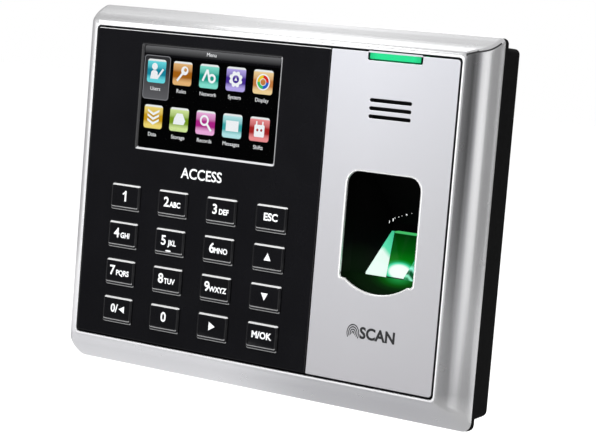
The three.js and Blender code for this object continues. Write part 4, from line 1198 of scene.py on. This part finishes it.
# the nodes that share a look and a width of rounded edge, in mm
CARRIED = {
    ("chassis", 0.15): ["front_chassis", "sensor_lens_barrel"],
    ("chassis", 0.25): ["power_jack"],
    ("white_plastic", 0.2): ["lcd_backlight", "reset_button"],
    ("film", 0.05): ["lcd_flex"],
    ("silicone", 0.2): ["keypad_mat"],
    ("silicone", 0.15): ["speaker_gasket"],
    ("board", 0.1): ["keypad_board", "status_led_board", "sensor_board", "main_board",
                     "usb_riser_board"],
    ("speaker", 0.2): ["speaker"],
    ("cradle", 0.35): ["sensor_cradle"],
    ("platen", 0.15): ["sensor_prism"],
    ("cheek", 0.1): ["light_guide"],
    ("zinc", 0.3): ["processor_can", "lock_screw"] + [f"case_screw_{i}" for i in range(1, 5)],
    ("zinc", 0.2): [f"board_screw_{i}" for i in range(1, 5)],
    ("nickel", 0.25): ["clock_battery", "ethernet_jack"],
    ("nickel", 0.2): ["usb_port"],
    ("terminal_green", 0.2): ["relay_terminals"],
    ("shell", 0.5): ["rear_housing"],
    ("sheet", 0.2): ["wall_bracket"],
}


# ---------------- studio

FLOOR_DROP = 0.07
STUDIO_SIZE = 8.0
FLOOR_GLOW = 0.45
OVERHEAD = (0.62, 0.62, 0.62)
# spot, size and power of each lamp; all point at the part's origin
LAMPS = {
    "key_light": ((-0.02, -0.32, 0.42), (0.5, 0.35), 4.4),
    "top_light": ((-0.44, -0.06, 0.66), (0.3, 0.3), 1.0),
    "front_light": ((0.35, -0.6, 0.12), (0.12, 0.5), 0.3),
}
# angle round the object, width, distance, level, height of the foot and of the head
CARDS = {
    "card_front_left": (238, 0.4, 0.4, 0.05, -0.139, 0.5),
    "card_right": (10, 0.55, 0.5, 0.33, -0.1, 0.5),
    "card_behind_right": (60, 0.35, 0.6, 0.33, -0.1, 0.5),
    "card_behind_left": (152, 0.32, 0.6, 0.5, -0.1, 0.5),
    "card_high_behind": (118, 0.5, 0.6, 2.3, 0.38, 0.72),
}


def level_corners(left, right, front, back, level):
    return [(left, front, level), (right, front, level), (right, back, level), (left, back, level)]


def flat_object(name, corners, look):
    """A four-cornered sheet of the studio, which is not part of the object."""
    mesh = bpy.data.meshes.new(name)
    mesh.from_pydata(corners, [], [(0, 1, 2, 3)])
    mesh.materials.append(look.material)
    made = bpy.data.objects.new(name, mesh)
    bpy.context.scene.collection.objects.link(made)
    return made


def add_floor():
    half = STUDIO_SIZE / 2
    look = Look("studio_floor", (0.75, 0.75, 0.75), 0.9).vary_color(0.01, 3).glow(WHITE, FLOOR_GLOW)
    flat_object("floor", level_corners(-half, half, -half, half, cad_box[0][2] - FLOOR_DROP), look)


def hidden_card(name, corners):
    """A black card out of the camera's sight, made to glow so that the part's gloss reflects it."""
    look = Look(name, (0.0, 0.0, 0.0), 1.0).set("Specular IOR Level", 0.0)
    card = flat_object(name, corners, look)
    card.visible_camera = False
    card.visible_shadow = False
    return look


def add_card(name, angle, width, distance, level, low, high):
    """An upright card at an angle round the object."""
    turn = math.radians(angle)
    middle = Vector((math.cos(turn), math.sin(turn), 0)) * distance
    side = Vector((-math.sin(turn), math.cos(turn), 0)) * width / 2
    drop, rise = Vector((0, 0, low)), Vector((0, 0, high))
    left, right = middle - side, middle + side
    corners = [left + drop, right + drop, right + rise, left + rise]
    hidden_card(name, corners).glow(WHITE, level)


def add_card_below():
    """A card just under the object, bright to the left and dimmer to the right."""
    look = hidden_card("card_below", level_corners(-0.6, 0.4, -0.17, 0.1, cad_box[0][2] - 0.03))
    look.glow(look.ramp(look.along("X", -0.1, 0.1), [
        (0.0, (0.88, 0.88, 0.9)), (0.3, (0.9, 0.9, 0.92)), (0.5, (0.64, 0.64, 0.66)),
        (0.75, (0.58, 0.58, 0.6)), (1.0, (0.6, 0.6, 0.6)),
    ]))


def add_world():
    """A plain pale room, a little darker overhead."""
    world = bpy.data.worlds.new("studio")
    world.use_nodes = True
    room = Nodes(world.node_tree)
    coordinate = room.node("ShaderNodeTexCoord").outputs["Generated"]
    height = room.node("ShaderNodeSeparateXYZ", {"Vector": coordinate}).outputs["Z"]
    color = room.ramp(height, [(0.35, (1, 1, 1)), (0.95, OVERHEAD)])
    background = room.node("ShaderNodeBackground", {"Color": color, "Strength": 1.0})
    room.node("ShaderNodeOutputWorld", {"Surface": background.outputs["Background"]})
    bpy.context.scene.world = world


def add_lamp(name, spot, size, power):
    data = bpy.data.lights.new(name, "AREA")
    data.shape = "RECTANGLE"
    data.size, data.size_y = size
    data.energy = power
    lamp = bpy.data.objects.new(name, data)
    bpy.context.scene.collection.objects.link(lamp)
    lamp.visible_camera = False
    lamp.location = spot
    lamp.rotation_euler = (-Vector(spot)).to_track_quat("-Z", "Y").to_euler()
    return lamp


def add_lights():
    lamps = {name: add_lamp(name, *values) for name, values in LAMPS.items()}
    lamps["key_light"].visible_glossy = False
    for name, values in CARDS.items():
        add_card(name, *values)
    add_card_below()


# ---------------- the whole

add_camera()
front_frame()
mitre_line()
keypad_fascia()
window_bevel()
sensor_fascia()
finger_lip()
for key in LEGENDS:
    key_cap(key)
    key_legend(key)
display()
word_mark()
finger_mark()
status_light()
glint_beads()
network_contacts()
power_pin()
relay_clamps()
usb_inside()
rating_label()
for (look, width), nodes in CARRIED.items():
    for node in nodes:
        soften(node, look, width)
add_floor()
add_world()
add_lights()
bpy.context.scene.view_settings.view_transform = "Standard"
